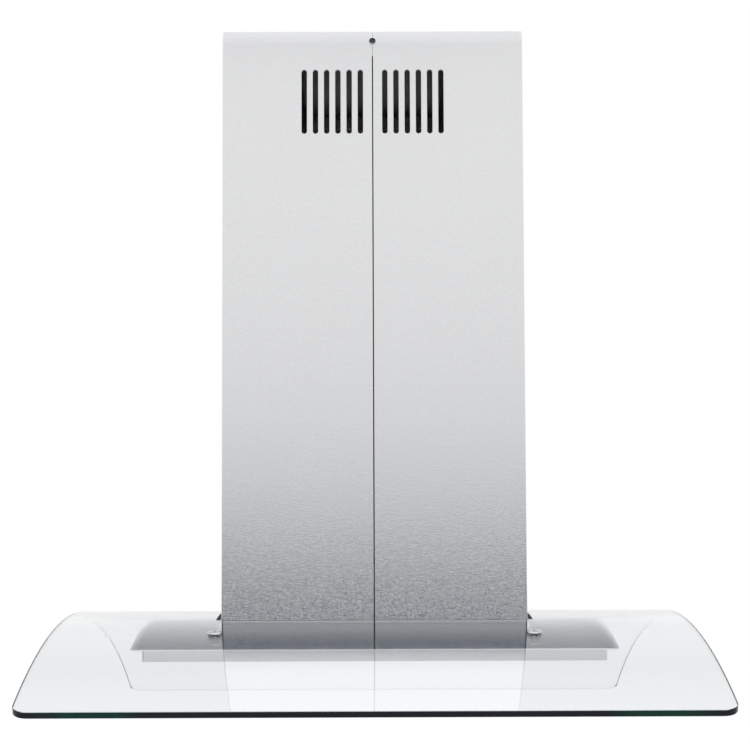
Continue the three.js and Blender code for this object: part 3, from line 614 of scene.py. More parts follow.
def crossHead(radius, height, place=(0, 0, 0), axis=(0, 0, 1), steps=20):
    # The domed head of a screw, with a cross recess. Its seat is at its place.
    flat = 0.62 * radius
    reach, half, depth = 0.74 * flat, 0.17 * flat, 0.5 * height
    head = spunShape([(0, 0), (radius, 0), (radius, 0.3 * height), (0.95 * radius, 0.58 * height),
                      (0.82 * radius, 0.84 * height), (flat, height)], steps)
    top = bmesh.new()
    circleOutline(top, flat, steps=steps)
    cross = []
    for quarter in range(4):
        turn = Matrix.Rotation(quarter * math.pi / 2, 2)
        cross += [tuple(turn @ Vector(point)) for point in ((reach, -half), (reach, half), (half, half))]
    loopOutline(top, cross)
    fillOutlines(top)
    bmesh.ops.translate(top, vec=(0, 0, height), verts=top.verts)
    mouth = [edge for edge in top.edges
             if edge.is_boundary and edge.verts[0].co.to_2d().length < 0.9 * flat]
    made = bmesh.ops.extrude_edge_only(top, edges=mouth)["geom"]
    bmesh.ops.translate(top, vec=(0, 0, -depth), verts=madeOf(made, bmesh.types.BMVert))
    rim = [edge for edge in madeOf(made, bmesh.types.BMEdge) if edge.is_boundary]
    bmesh.ops.edgeloop_fill(top, edges=rim)
    whole = joined(head, top)
    bmesh.ops.remove_doubles(whole, verts=whole.verts, dist=0.01 * mm)
    bmesh.ops.recalc_face_normals(whole, faces=whole.faces[:])
    return moved(whole, place, towards(axis))


def rivet(radius, place, axis=(0, 0, 1)):
    return spunShape([(0, 0), (radius, 0), (0.94 * radius, 0.25 * radius), (0.6 * radius, 0.5 * radius),
                      (0, 0.6 * radius)], 10, place, axis)


def channelStrip(section, low, high, thickness):
    # A thin bent strip: its section of (Y, Z) points is pushed along X.
    shape = bmesh.new()
    points = [shape.verts.new((low, y, z)) for y, z in section]
    edges = [shape.edges.new(pair) for pair in zip(points, points[1:])]
    made = bmesh.ops.extrude_edge_only(shape, edges=edges)["geom"]
    bmesh.ops.translate(shape, vec=(high - low, 0, 0), verts=madeOf(made, bmesh.types.BMVert))
    bmesh.ops.solidify(shape, geom=shape.faces[:], thickness=thickness)
    faceOutwards(shape)
    return shape


def spanOf(node):
    low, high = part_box(node)
    return low, high, (low + high) / 2


def onSide(side, first, last):
    # Two distances from the middle as a low and a high place on one side (-1 or 1).
    return sorted((side * first, side * last))


def cornersOf(low, high, inset):
    return [(x, y) for x in (low.x + inset, high.x - inset) for y in (low.y + inset, high.y - inset)]


def middleOf(node):
    return spanOf(node)[2]


# The arch that the glass and the plate under it follow.
glassLow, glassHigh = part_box("glass_canopy")
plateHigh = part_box("top_plate")[1]
arch = {
    "rise": 86 * mm,
    "glassThickness": 6 * mm,
    "plateThickness": 1.2 * mm,
}
arch["radius"] = (glassHigh.x ** 2 + arch["rise"] ** 2) / (2 * arch["rise"])
arch["centre"] = glassHigh.z - arch["radius"]
arch["plateRadius"] = plateHigh.z - arch["centre"]


def archHeight(radius, x):
    return arch["centre"] + math.sqrt(radius ** 2 - x ** 2)


def bendToArch(shape, radius):
    # Lays a flat shape on the arch. Its plan stays as drawn.
    for vert in shape.verts:
        vert.co.z = archHeight(radius, vert.co.x)


def inwards(place, distance):
    # From a point on the arch towards the arch's centre line.
    return Vector((-place.x, 0, arch["centre"] - place.z)).normalized() * distance


canopy = {
    "corner": 14 * mm,
    "cutCorner": 6 * mm,
    "cutGapX": 2 * mm,
    "cutGapY": 5 * mm,
    "screwX": 238 * mm,
    "screwY": 147 * mm,
    "holeRadius": 4 * mm,
    "stripes": 90,
    "arris": 0.4 * mm,
}
screwPlaces = [(x * canopy["screwX"], y * canopy["screwY"]) for x, y in corners]


glassFinishes = ["glass", "glassEdge", "glassArris", "groundEdge", "glassSideEdge", "cutArris"]
glassFace, outerEdge, arrisFace, cutEdge, sideEdge, cutArris = range(6)  # their numbers on the piece


def glassCanopy():
    chimneyLow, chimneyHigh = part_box("chimney_front")
    shape = bmesh.new()
    rectangleOutline(shape, glassHigh.x, glassHigh.y, canopy["corner"], steps=12)
    rectangleOutline(shape, chimneyHigh.x + canopy["cutGapX"], -chimneyLow.y + canopy["cutGapY"],
                     canopy["cutCorner"])
    for place in screwPlaces:
        circleOutline(shape, canopy["holeRadius"], place, 24)
    fillOutlines(shape)
    cutEvenly(shape, glassHigh.x, 2 * glassHigh.x / canopy["stripes"])
    bendToArch(shape, arch["radius"])
    thicken(shape, lambda place: inwards(place, arch["glassThickness"]))
    for face in shape.faces:
        middle = face.calc_center_median()
        if abs(face.normal.dot(inwards(middle, -1))) > 0.7:
            face.material_index = glassFace
        else:
            outer = max(abs(middle.x) / glassHigh.x, abs(middle.y) / glassHigh.y) > 0.9
            sideways = abs(face.normal.y) > 0.9
            face.material_index = (sideEdge if sideways else outerEdge) if outer else cutEdge
    rims = []
    for edge in shape.edges:
        if {face.material_index == glassFace for face in edge.link_faces} == {True, False}:
            rims.append(edge)
    roundEdges(shape, rims, canopy["arris"], material=arrisFace)
    for face in shape.faces:
        middle = face.calc_center_median()
        if face.material_index != arrisFace:
            continue
        if abs(middle.x) < 0.9 * glassHigh.x and abs(middle.y) < 0.9 * glassHigh.y:
            face.material_index = cutArris
        elif abs(face.normal.y) > 0.35:
            face.material_index = sideEdge
    newPiece("glass_sheet", "glass_canopy", [shape], *glassFinishes)


plateSizes = {
    "corner": 3 * mm,
    "openingX": 105 * mm,
    "openingY": 100 * mm,
    "openingCorner": 4 * mm,
    "holeRadius": 3 * mm,
    "brokenEdge": 0.35 * mm,
    "stripesToScrew": 26,  # so that a cut runs through the middle of each hole
}


def topPlate():
    shape = bmesh.new()
    rectangleOutline(shape, plateHigh.x, plateHigh.y, plateSizes["corner"], steps=4)
    rectangleOutline(shape, plateSizes["openingX"], plateSizes["openingY"], plateSizes["openingCorner"],
                     steps=4)
    for place in screwPlaces:
        circleOutline(shape, plateSizes["holeRadius"], place, 24)
    fillOutlines(shape)
    cutEvenly(shape, plateHigh.x, canopy["screwX"] / plateSizes["stripesToScrew"])
    bendToArch(shape, arch["plateRadius"])
    thicken(shape, lambda place: inwards(place, arch["plateThickness"]))
    roundEdges(shape, sharpEdges(shape, 50), plateSizes["brokenEdge"])
    newPiece("arched_plate", "top_plate", [shape], "plateSteel")


glassCanopy()
topPlate()
print("glass and plate made")


def foldedSheet(sheet):
    # A flat blank, folded at two corners. X runs along the sheet, Y is height and Z is depth into it.
    # The broad face looks to -Y, or to +Y when turned, and the two ends run away from it.
    bend = sheet["bend"]
    straight = sheet["halfX"] - bend
    arc = bend * math.pi / 2
    halfBlank = straight + arc + sheet["endFlat"]
    foot, top = sheet["foot"], sheet["top"]
    shape = bmesh.new()
    endTop = sheet["notch"](halfBlank, top) if sheet["notch"] else [(halfBlank, top)]
    rightEnd = [(halfBlank, foot)] + endTop
    loopOutline(shape, rightEnd + [(-x, height) for x, height in reversed(rightEnd)])
    if sheet["cuts"]:
        sheet["cuts"](shape, halfBlank)
    fillOutlines(shape)
    bends = [straight + arc * step / sheet["bendSteps"] for step in range(sheet["bendSteps"] + 1)]
    stripes = [2 * straight * (index / sheet["stripes"] - 0.5) for index in range(1, sheet["stripes"])]
    cutAcross(shape, [-place for place in bends] + bends + stripes)
    whole = bends[-1] if sheet["cuts"] else halfBlank
    joinStrips(shape, -whole, whole)
    for vert in shape.verts:
        if sheet["archEdge"] is not None and abs(vert.co.y - sheet["archEdge"]) < 1e-6:
            x = min(abs(vert.co.x), sheet["halfX"])
            vert.co.y = archHeight(sheet["archRadius"], x)
    thicken(shape, upwards(sheet["wall"]))
    outerRims = []
    for edge in sharpEdges(shape, 60):
        if all(abs(vert.co.z) < 1e-7 for vert in edge.verts):
            outerRims.append(edge)
    roundEdges(shape, outerRims, sheet["brokenEdge"], 2)
    for vert in shape.verts:
        along, height, depth = vert.co
        run = abs(along) - straight
        if run <= 0:
            x, y = abs(along), depth
        elif run < arc:
            reach = bend - depth
            x, y = straight + reach * math.sin(run / bend), bend - reach * math.cos(run / bend)
        else:
            x, y = straight + bend - depth, bend + run - arc
        vert.co = (math.copysign(x, along), sheet["faceY"] + y, height)
    if sheet["turned"]:
        bmesh.ops.rotate(shape, cent=(0, 0, 0), matrix=Matrix.Rotation(math.pi, 3, "Z"), verts=shape.verts)
    faceOutwards(shape)
    return shape


chimney = {
    "bend": 2 * mm,
    "wall": 1 * mm,
    "seam": 0.5 * mm,
    "closedSeam": 0.05 * mm,
    "closedSeamHeight": 24.5 * mm,
    "slots": 6,
    "slotWidth": 5.2 * mm,
    "slotLength": 63.6 * mm,
    "slotPitch": 11 * mm,
    "firstSlot": 12 * mm,
    "slotTop": -38 * mm,
    "holeHeight": -9.4 * mm,
    "holeRadius": 3.2 * mm,
}


def chimneySlots(shape, halfBlank):
    middle = chimney["slotTop"] - chimney["slotLength"] / 2
    for side in (-1, 1):
        for index in range(chimney["slots"]):
            across = halfBlank + chimney["seam"] - chimney["firstSlot"] - index * chimney["slotPitch"]
            slotOutline(shape, chimney["slotWidth"] / 2, chimney["slotLength"] / 2,
                        (side * across, middle), 8)


def seamNotch(halfBlank, top):
    # The seam is nearly closed at the top, and each half holds its half of the screw hole there.
    middle, closed = halfBlank + chimney["seam"], chimney["closedSeam"]
    reach = math.degrees(math.acos(closed / chimney["holeRadius"]))
    step = top - chimney["closedSeamHeight"]
    hole = arcPoints((middle, chimney["holeHeight"]), chimney["holeRadius"], 180 + reach, 180 - reach, 14)
    return [(halfBlank, step), (middle - closed, step)] + hole + [(middle - closed, top)]


seamLip = {
    "half": 7 * mm,
    "sheet": 0.8 * mm,
    "gap": 0.3 * mm,
    "top": -32 * mm,
}


def chimneyHalf(name, node, outer):
    low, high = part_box(node)
    halfY = max(high.y, -low.y)
    turned = high.y > -low.y
    parts = [foldedSheet({
        "halfX": high.x,
        "faceY": -halfY,
        "endFlat": halfY - chimney["bend"] - chimney["seam"],
        "bend": chimney["bend"],
        "bendSteps": 6,
        "stripes": 24,
        "wall": chimney["wall"],
        "foot": low.z,
        "top": high.z,
        "notch": seamNotch if outer else None,
        "cuts": chimneySlots,
        "archEdge": low.z if outer else None,
        "archRadius": arch["plateRadius"] + 0.3 * mm,
        "brokenEdge": 0.22 * mm,
        "turned": turned,
    })]
    if not outer:
        # A lip at one end covers the seam from behind. Its outer face is painted near black, as painted
        # shade behind the seam.
        inside = high.x - chimney["wall"]
        face = inside - seamLip["gap"]
        strip = solidBox((face - seamLip["sheet"], -seamLip["half"], low.z),
                         (face, seamLip["half"], seamLip["top"]),
                         0.2 * mm)
        for side in strip.faces:
            side.material_index = 1 if side.normal.x > 0.7 else 0
        lip = joined(
            strip,
            solidBox((face - 0.1 * mm, -seamLip["half"], low.z),
                     (inside + 0.1 * mm, -1 * mm, seamLip["top"]), 0))
        parts.append(moved(lip, turn=halfTurn(turned)))
    newPiece(name, node, parts, "chimneySteel", "felt")


for halfName in ("front", "rear"):
    chimneyHalf("chimney_sheet_" + halfName, "chimney_" + halfName, True)
    chimneyHalf("upper_sheet_" + halfName, "upper_chimney_" + halfName, False)
print("chimney made")


glassScrew = {
    "capRadius": 7 * mm,
    "capHeight": 2 * mm,
    "seatRadius": 6.8 * mm,
    "seatHeight": 0.9 * mm,
    "shankRadius": 2.5 * mm,
    "shankLength": 14.2 * mm,
    "threadPitch": 0.8 * mm,
    "threads": 8,
    "washerBore": 3.2 * mm,
    "washerRadius": 5 * mm,
    "washerHeight": 1.4 * mm,
    "washerEdge": 0.35 * mm,
    "washerGap": 0.3 * mm,  # above the plate
}


def leanOf(x):
    # The screws stand square to the glass.
    return Matrix.Rotation(math.asin(x / arch["radius"]), 4, "Y")


def onArch(x, y, radius):
    lean = math.asin(x / arch["radius"])
    return Vector((radius * math.sin(lean), y, arch["centre"] + radius * math.cos(lean)))


def glassScrewPiece(index, x, y):
    shank, foot = glassScrew["shankRadius"], -glassScrew["shankLength"]
    seat = 0.3 * mm
    profile = [(0, foot), (0.8 * shank, foot)]
    for turn in range(glassScrew["threads"]):
        height = foot + (turn + 0.5) * glassScrew["threadPitch"]
        profile += [(shank, height), (0.84 * shank, height + 0.5 * glassScrew["threadPitch"])]
    profile += [(shank, profile[-1][1] + 0.5 * mm), (shank, glassScrew["seatHeight"]),
                (0, glassScrew["seatHeight"])]
    stem = spunShape(profile, 24)
    top = glassScrew["seatHeight"]
    skirt = painted(ringShape(shank, glassScrew["seatRadius"], seat, top, 0.25 * mm, 48), 1)
    cap = crossHead(glassScrew["capRadius"], glassScrew["capHeight"], (0, 0, top), steps=48)
    whole = moved(joined(stem, skirt, cap), onArch(x, y, arch["radius"]), leanOf(x))
    newPiece(f"cap_screw_{index}", f"glass_screw_{index}", [whole],
             "polished_steel", "black_plastic")


def glassWasherPiece(index, x, y):
    ring = ringShape(glassScrew["washerBore"], glassScrew["washerRadius"], 0, glassScrew["washerHeight"],
                     glassScrew["washerEdge"], 40)
    whole = moved(ring, onArch(x, y, arch["plateRadius"] + glassScrew["washerGap"]), leanOf(x))
    newPiece(f"soft_washer_{index}", f"glass_washer_{index}", [whole], "silicone")


for screwIndex, (screwX, screwY) in enumerate(screwPlaces, 1):
    glassScrewPiece(screwIndex, screwX, screwY)
    glassWasherPiece(screwIndex, screwX, screwY)


strap = {
    "corner": 2.5 * mm,
    "hole": 2.8 * mm,
    "holeHeight": chimney["holeHeight"] + 1.4 * mm,
    "linerBore": 0.9 * mm,
    "linerRadius": 2.75 * mm,
    "linerSunk": (0.02 * mm, 0.05 * mm),  # below the two faces of the strap
}


def seamTab(name, node):
    # The strap is painted a dull grey as painted shade, and a dark ring painted as shade fills the screw
    # hole, which would show bright metal without it.
    low, high, middle = spanOf(node)

    def outlines(shape):
        rectangleOutline(shape, high.y, (high.z - low.z) / 2, strap["corner"], (0, middle.z))
        circleOutline(shape, strap["hole"], (0, strap["holeHeight"]), 24)

    sheet = flatPlate(outlines, high.x - low.x, 0.15 * mm, (low.x, 0, 0), faceX)
    paintedShadeRing = ringShape(strap["linerBore"], strap["linerRadius"], strap["linerSunk"][0],
                      high.x - low.x - strap["linerSunk"][1], 0.1 * mm, 32, (low.x, 0, strap["holeHeight"]),
                      (1, 0, 0))
    newPiece(name, node, [sheet, painted(paintedShadeRing, 1)], "strap_painted_shade", "felt")


seamTab("seam_strap_right", "seam_tab_right")
seamTab("seam_strap_left", "seam_tab_left")
print("screws and straps made")


body = {
    "wall": 1 * mm,
    "bend": 2.5 * mm,
    "topRadius": arch["plateRadius"] - 1.5 * mm,  # the walls stop just under the plate
    "buttonHole": 6.9 * mm,
    "lampHole": 27 * mm,
    "lip": 1 * mm,
    "panSheet": 1.2 * mm,
}
buttonNodes = [f"button_{index}" for index in range(1, 6)]
lampNodes = [f"lamp_housing_{index}" for index in range(1, 5)]


def bodyShell():
    low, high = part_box("body_shell")
    shape = foldedSheet({
        "halfX": high.x,
        "faceY": -high.y,
        "endFlat": high.y - low.y - body["bend"],
        "bend": body["bend"],
        "bendSteps": 6,
        "stripes": 30,
        "wall": body["wall"],
        "foot": low.z,
        "top": high.z,
        "notch": None,
        "cuts": None,
        "archEdge": high.z,
        "archRadius": body["topRadius"],
        "brokenEdge": 0.25 * mm,
        "turned": True,
    })
    newPiece("body_walls", "body_shell", [shape], "bodySteel")


def frontFascia():
    low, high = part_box("front_fascia")
    shape = bmesh.new()
    rectangleOutline(shape, high.x, (high.z - low.z) / 2, centre=(0, (high.z + low.z) / 2))
    for node in buttonNodes:
        middle = middleOf(node)
        circleOutline(shape, body["buttonHole"], (middle.x, middle.z), 32)
    fillOutlines(shape)
    cutEvenly(shape, high.x, middleOf(buttonNodes[-1]).x / 4)  # a cut runs through the middle of each hole
    for vert in shape.verts:
        if abs(vert.co.y - high.z) < 1e-6:
            vert.co.y = archHeight(body["topRadius"], vert.co.x)
    thicken(shape, upwards(body["wall"]))
    roundEdges(shape, sharpEdges(shape, 50), 0.25 * mm)
    moved(shape, (0, high.y, 0), faceY)
    newPiece("fascia_sheet", "front_fascia", [shape], "bodySteel")


def bottomPan():
    low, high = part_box("bottom_pan")
    openings = []
    for node in ("grease_filter_left", "grease_filter_right"):
        filterLow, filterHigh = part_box(node)
        half = (filterHigh - filterLow) / 2
        openings.append((half.x + 1 * mm, half.y + 1 * mm, (filterLow.x + filterHigh.x) / 2))

    def sheetOutlines(shape):
        rectangleOutline(shape, high.x, high.y, 2 * mm)
        for halfX, halfY, x in openings:
            rectangleOutline(shape, halfX, halfY, 2 * mm, (x, 0))
        for node in lampNodes:
            middle = middleOf(node)
            circleOutline(shape, body["lampHole"], (middle.x, middle.y), 48)

    parts = [flatPlate(sheetOutlines, body["panSheet"], 0.3 * mm, (0, 0, low.z))]
    lipFoot = low.z + body["panSheet"] - 0.2 * mm
    for halfX, halfY, x in openings:
        def lipOutlines(shape):
            rectangleOutline(shape, halfX + body["lip"], halfY + body["lip"], 3 * mm, (x, 0))
            rectangleOutline(shape, halfX, halfY, 2 * mm, (x, 0))
        parts.append(flatPlate(lipOutlines, high.z - lipFoot, 0.2 * mm, (0, 0, lipFoot)))
    edge = 9 * mm
    for x in (-0.96, -0.34, 0.34, 0.96):
        for side in (-1, 1):
            place = (x * (high.x - edge), side * (high.y - edge), low.z)
            parts.append(painted(crossHead(3.2 * mm, 1.5 * mm, place, (0, 0, -1)), 1))
    newPiece("underside_pan", "bottom_pan", parts, "panSteel", "polished_steel")


bodyShell()
frontFascia()
bottomPan()


lamp = {
    "radius": 26 * mm,
    "flange": 31 * mm,
    "flangeHeight": 1.5 * mm,
    "cupHeight": 10 * mm,
    "wall": 1 * mm,
    "lensRadius": 24.7 * mm,
    "ridges": 9,
}


def lampHousing(index):
    node = f"lamp_housing_{index}"
    middle = middleOf(node)
    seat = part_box(node)[0].z + lamp["flangeHeight"]
    wall, bore = lamp["wall"], lamp["radius"] - lamp["wall"]
    bezel = -lamp["flangeHeight"]
    cup = spunShape([
        (bore, 0.4 * bezel), (bore + 0.3 * mm, 0.8 * bezel), (bore + 1.2 * mm, bezel),
        (lamp["flange"] - 1.6 * mm, bezel), (lamp["flange"] - 0.5 * mm, 0.75 * bezel),
        (lamp["flange"], 0.3 * bezel), (lamp["flange"], 0), (lamp["radius"], 0),
        (lamp["radius"], lamp["cupHeight"] - 1.5 * mm), (lamp["radius"] - 1.5 * mm, lamp["cupHeight"]),
        (0, lamp["cupHeight"]),
    ], 64, (middle.x, middle.y, seat))
    dish = [(bore, 0.4 * bezel)]
    for step in range(7):
        share = step / 6
        dish.append((bore * (1 - 0.72 * share ** 1.6),
                     2 * mm + share * (lamp["cupHeight"] - wall - 2 * mm)))
    reflector = spunShape(dish + [(0, lamp["cupHeight"] - wall)], 64, (middle.x, middle.y, seat))
    whole = joined(cup, reflector)
    bmesh.ops.remove_doubles(whole, verts=whole.verts, dist=0.01 * mm)
    bmesh.ops.recalc_face_normals(whole, faces=whole.faces[:])
    emitter = painted(ringShape(0.4 * mm, 6 * mm, 7.4 * mm, 8.6 * mm, 0.2 * mm, 24,
                                (middle.x, middle.y, seat)), 1)
    newPiece(f"lamp_cup_{index}", node, [whole, emitter], "polished_steel", "lamp_lens")


def lampLens(index):
    node = f"lamp_lens_{index}"
    low, high, middle = spanOf(node)
    face = [(0, low.z + 0.1 * mm)]
    ridge = (lamp["lensRadius"] - 3 * mm) / lamp["ridges"]
    for number in range(lamp["ridges"]):
        face += [(ridge * (number + 0.5), low.z + 0.12 * mm), (ridge * (number + 1), low.z + 0.5 * mm)]
    radius = lamp["lensRadius"]
    face += [(radius - 1.6 * mm, low.z), (radius - 0.4 * mm, low.z + 0.1 * mm), (radius, low.z + 0.5 * mm),
             (radius, high.z - 0.3 * mm), (radius - 0.3 * mm, high.z), (0, high.z)]
    lens = spunShape(face, 64, (middle.x, middle.y, 0))
    newPiece(f"lamp_glass_{index}", node, [lens], "lamp_lens")


for lampIndex in range(1, 5):
    lampHousing(lampIndex)
    lampLens(lampIndex)
print("body and lamps made")


filterSizes = {
    "bar": 11 * mm,
    "cupHalf": 30 * mm,
    "cupRear": -122 * mm,
    "pocketHalf": 24 * mm,
    "pocketFront": -150 * mm,
    "pocketRear": -128 * mm,
    "pocketRoof": 7 * mm,
    "baffleHalf": 11 * mm,
    "bafflePitch": 32 * mm,
    "baffleLip": 3.2 * mm,
    "baffleSheet": 0.8 * mm,
    "lowerBaffles": 9,
    "lowerHeight": 0.9 * mm,
    "upperHeight": 7.9 * mm,
}


def baffleSection(y, height, direction):
    # A channel whose edges curl in one direction.
    half, lip, bend = filterSizes["baffleHalf"], filterSizes["baffleLip"], 1.2 * mm
    section = [(-half, lip)]
    section += arcPoints((-half + bend, bend), bend, 180, 270, 4)
    section += arcPoints((half - bend, bend), bend, 270, 360, 4)
    section.append((half, lip))
    return [(y + across, height + direction * up) for across, up in section]


def greaseFilter(side):
    node = "grease_filter_" + side
    low, high, middle = spanOf(node)
    halfX, halfY = high.x - middle.x, high.y
    innerX, innerY = halfX - filterSizes["bar"], halfY - filterSizes["bar"]
    cup, cupRear = filterSizes["cupHalf"], filterSizes["cupRear"]
    pocket, front, rear = filterSizes["pocketHalf"], filterSizes["pocketFront"], filterSizes["pocketRear"]

    def outlines(shape):
        rectangleOutline(shape, halfX, halfY, 2.5 * mm)
        loopOutline(shape, [(cup, -innerY), (innerX, -innerY), (innerX, innerY), (-innerX, innerY),
                            (-innerX, -innerY), (-cup, -innerY), (-cup, cupRear), (cup, cupRear)])
        rectangleOutline(shape, pocket, (rear - front) / 2, 2 * mm, (0, (rear + front) / 2))

    tall = high.z - low.z
    parts = [flatPlate(outlines, tall, 0.9 * mm)]
    roof = filterSizes["pocketRoof"]
    parts.append(solidBox((-pocket - 1 * mm, front - 1 * mm, roof),
                          (pocket + 1 * mm, rear + 1 * mm, tall - 0.2 * mm)))
    layers = ((filterSizes["lowerBaffles"], filterSizes["lowerHeight"], 1),
              (filterSizes["lowerBaffles"] + 1, filterSizes["upperHeight"], -1))
    for count, height, direction in layers:
        for index in range(count):
            y = (index - (count - 1) / 2) * filterSizes["bafflePitch"]
            section = baffleSection(y, height, direction)
            reach = innerX + 0.5 * mm
            blocked = y - filterSizes["baffleHalf"] < cupRear - 2 * mm
            spans = [(-reach, -cup + 1 * mm), (cup - 1 * mm, reach)] if blocked else [(-reach, reach)]
            for start, end in spans:
                parts.append(channelStrip(section, start, end, filterSizes["baffleSheet"]))
    for x, y in corners:
        place = (x * (halfX - 5.5 * mm), y * (halfY - 5.5 * mm), 0.4 * mm)
        parts.append(rivet(2.2 * mm, place, (0, 0, -1)))
    whole = moved(joined(*parts), (middle.x, 0, low.z))
    newPiece("baffle_filter_" + side, node, [whole], "aluminium")


def filterLatch(side):
    node = "filter_latch_" + side
    low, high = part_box(node)
    x = (low.x + high.x) / 2
    barFront = high.y - 4 * mm
    bolt = solidBox((x - 7.6 * mm, low.y, low.z + 1.6 * mm),
                    (x + 7.6 * mm, barFront + 1 * mm, high.z - 1 * mm), 0.7 * mm)
    parts = [solidBox((low.x, barFront, low.z), high, 1 * mm, 3), bolt]
    for index in range(7):
        across = x + (index - 3) * 5 * mm
        parts.append(solidBox((across - 0.7 * mm, high.y - 1 * mm, low.z + 0.9 * mm),
                              (across + 0.7 * mm, high.y + 0.5 * mm, high.z - 0.9 * mm), 0.3 * mm))
    newPiece("latch_slide_" + side, node, parts, "black_plastic")


for sideName in ("left", "right"):
    greaseFilter(sideName)
    filterLatch(sideName)
print("filters made")


button = {
    "radius": 6.5 * mm,
    "stem": 5 * mm,
    "collar": 8 * mm,
    "length": 10.8 * mm,
    "dish": 0.5 * mm,
    "dot": 0.6 * mm,
}


def controlTrim():
    low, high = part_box("control_trim")

    def outlines(shape):
        middle = (low.z + high.z) / 2
        rectangleOutline(shape, high.x, (high.z - low.z) / 2, 8 * mm, (0, middle), 12)
        for node in buttonNodes:
            circleOutline(shape, body["buttonHole"], (middleOf(node).x, middle), 32)

    plate = flatPlate(outlines, high.y - low.y, 0.45 * mm, (0, high.y, 0), faceY)
    newPiece("trim_strip", "control_trim", [plate], "polished_steel")


def pushButton(index):
    # Each face is dished and marked: a ring for off, dots for the speeds, and a ring and dot for the lamps.
    node = f"button_{index}"
    high, middle = spanOf(node)[1:]
    radius, face = button["radius"], button["length"]
    dish = face - button["dish"]
    rim = radius - 1.3 * mm
    turnedPart = spunShape([
        (0, 0), (button["stem"], 0), (button["stem"], 2 * mm), (button["collar"], 2 * mm),
        (button["collar"], 5 * mm), (radius, 5 * mm), (radius, face - 1.1 * mm),
        (radius - 0.2 * mm, face - 0.4 * mm), (radius - 0.6 * mm, face - 0.08 * mm),
        (radius - 0.9 * mm, face), (rim, face - 0.1 * mm), (0.6 * rim, 0.5 * (face + dish) - 0.1 * mm),
        (0.3 * rim, dish + 0.03 * mm), (0, dish),
    ], 48)
    parts = [turnedPart]
    if index in (1, 5):
        parts.append(painted(ringShape(2.2 * mm, 2.7 * mm, dish, dish + 0.3 * mm, 0.05 * mm, 32), 1))
    dots = {1: 0, 2: 1, 3: 2, 4: 3, 5: 1}[index]
    for dot in range(dots):
        across = (dot - (dots - 1) / 2) * 1.9 * mm
        parts.append(painted(rivet(button["dot"], (across, 0, dish + 0.05 * mm)), 1))
    whole = moved(joined(*parts), (middle.x, high.y, middle.z), faceY)
    newPiece(f"push_button_{index}", node, [whole], "polished_steel", "black_plastic")


controlTrim()
for buttonIndex in range(1, 6):
    pushButton(buttonIndex)


def switchBoard():
    low, high, middle = spanOf("switch_board")
    boardFront = high.y - 1.6 * mm
    halfHeight = (high.z - low.z) / 2

    def outlines(shape):
        rectangleOutline(shape, high.x, halfHeight, 1.5 * mm, (0, middle.z), 3)
        for x in (-1, 1):
            circleOutline(shape, 1.6 * mm, (x * (high.x - 4 * mm), middle.z - halfHeight + 4 * mm), 20)

    parts = [flatPlate(outlines, 1.6 * mm, 0.15 * mm, (0, high.y, 0), faceY)]
    for node in buttonNodes:
        x = middleOf(node).x
        parts.append(painted(solidBox((x - 5 * mm, low.y + 1.2 * mm, middle.z - 5 * mm),
                                      (x + 5 * mm, boardFront, middle.z + 5 * mm), 0.5 * mm), 1))
        parts.append(painted(ringShape(0.2 * mm, 1.8 * mm, 0, 1.3 * mm, 0.2 * mm, 20,
                                       (x, low.y + 1.3 * mm, middle.z), (0, -1, 0)), 2))
        for legX in (-3.2 * mm, 3.2 * mm):
            for legZ in (-4.5 * mm, 4.5 * mm):
                place = (x + legX, boardFront, middle.z + legZ * 1.25)
                parts.append(painted(rivet(0.8 * mm, place, (0, -1, 0)), 3))
    for index in range(4):
        x = (index - 1.5) * 26 * mm
        parts.append(painted(solidBox((x - 2.6 * mm, boardFront - 1.2 * mm, low.z + 2 * mm),
                                      (x + 2.6 * mm, boardFront, low.z + 4.4 * mm), 0.3 * mm), 2))
    parts.append(painted(solidBox((high.x - 14 * mm, boardFront - 4.4 * mm, middle.z - 1 * mm),
                                  (high.x - 3 * mm, boardFront, middle.z + 8 * mm), 0.4 * mm), 2))
    newPiece("switch_circuit", "switch_board", parts,
             "circuit_board", "black_plastic", "grey_plastic", "polished_steel")


def lampDriver():
    low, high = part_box("lamp_driver")
    split = low.z + 0.72 * (high.z - low.z)
    inset = Vector((0.6 * mm, 0.6 * mm, 0))
    parts = [solidBox(low, (high.x, high.y, split), 1.2 * mm, 3),
             solidBox(Vector((low.x, low.y, split - 0.6 * mm)) + inset,
                      Vector((high.x, high.y, split + 0.6 * mm)) - inset, 0),
             solidBox((low.x, low.y, split + 0.4 * mm), high, 1.2 * mm, 3)]
    for index in range(9):
        x = low.x + 16 * mm + index * 7.2 * mm
        parts.append(solidBox((x, low.y + 4 * mm, high.z - 1.6 * mm),
                              (x + 2.4 * mm, high.y - 4 * mm, high.z - 0.05 * mm),
                              0.35 * mm))
    for x, y in cornersOf(low, high, 5 * mm):
        parts.append(painted(crossHead(2 * mm, 0.8 * mm, (x, y, high.z - 0.85 * mm)), 1))
    newPiece("driver_box", "lamp_driver", parts, "black_plastic", "polished_steel")


switchBoard()
lampDriver()
print("controls made")


datum = glassHigh.z - arch["rise"]
blower = {
    "wall": 1.2 * mm,
    "flange": 8 * mm,
    "outletRadius": 73 * mm,
    "stripes": 24,
    "seat": arch["plateRadius"] + 0.3 * mm,
    "ribWidth": 5 * mm,
    "ribProud": 0.8 * mm,
    "ribPlaces": (-70 * mm, -35 * mm, 0, 35 * mm, 70 * mm),
}


def archedRing(outer, inner, corner, step):
    # A ring between two rectangles, laid on the plate and pushed by step.
    shape = bmesh.new()
    rectangleOutline(shape, *outer, corner)
    rectangleOutline(shape, *inner, max(corner - blower["wall"], 0.5 * mm))
    fillOutlines(shape)
    cutEvenly(shape, outer[0], 2 * outer[0] / blower["stripes"])
    bendToArch(shape, blower["seat"])
    thicken(shape, step)
    roundEdges(shape, sharpEdges(shape, 50), 0.2 * mm)
    return shape


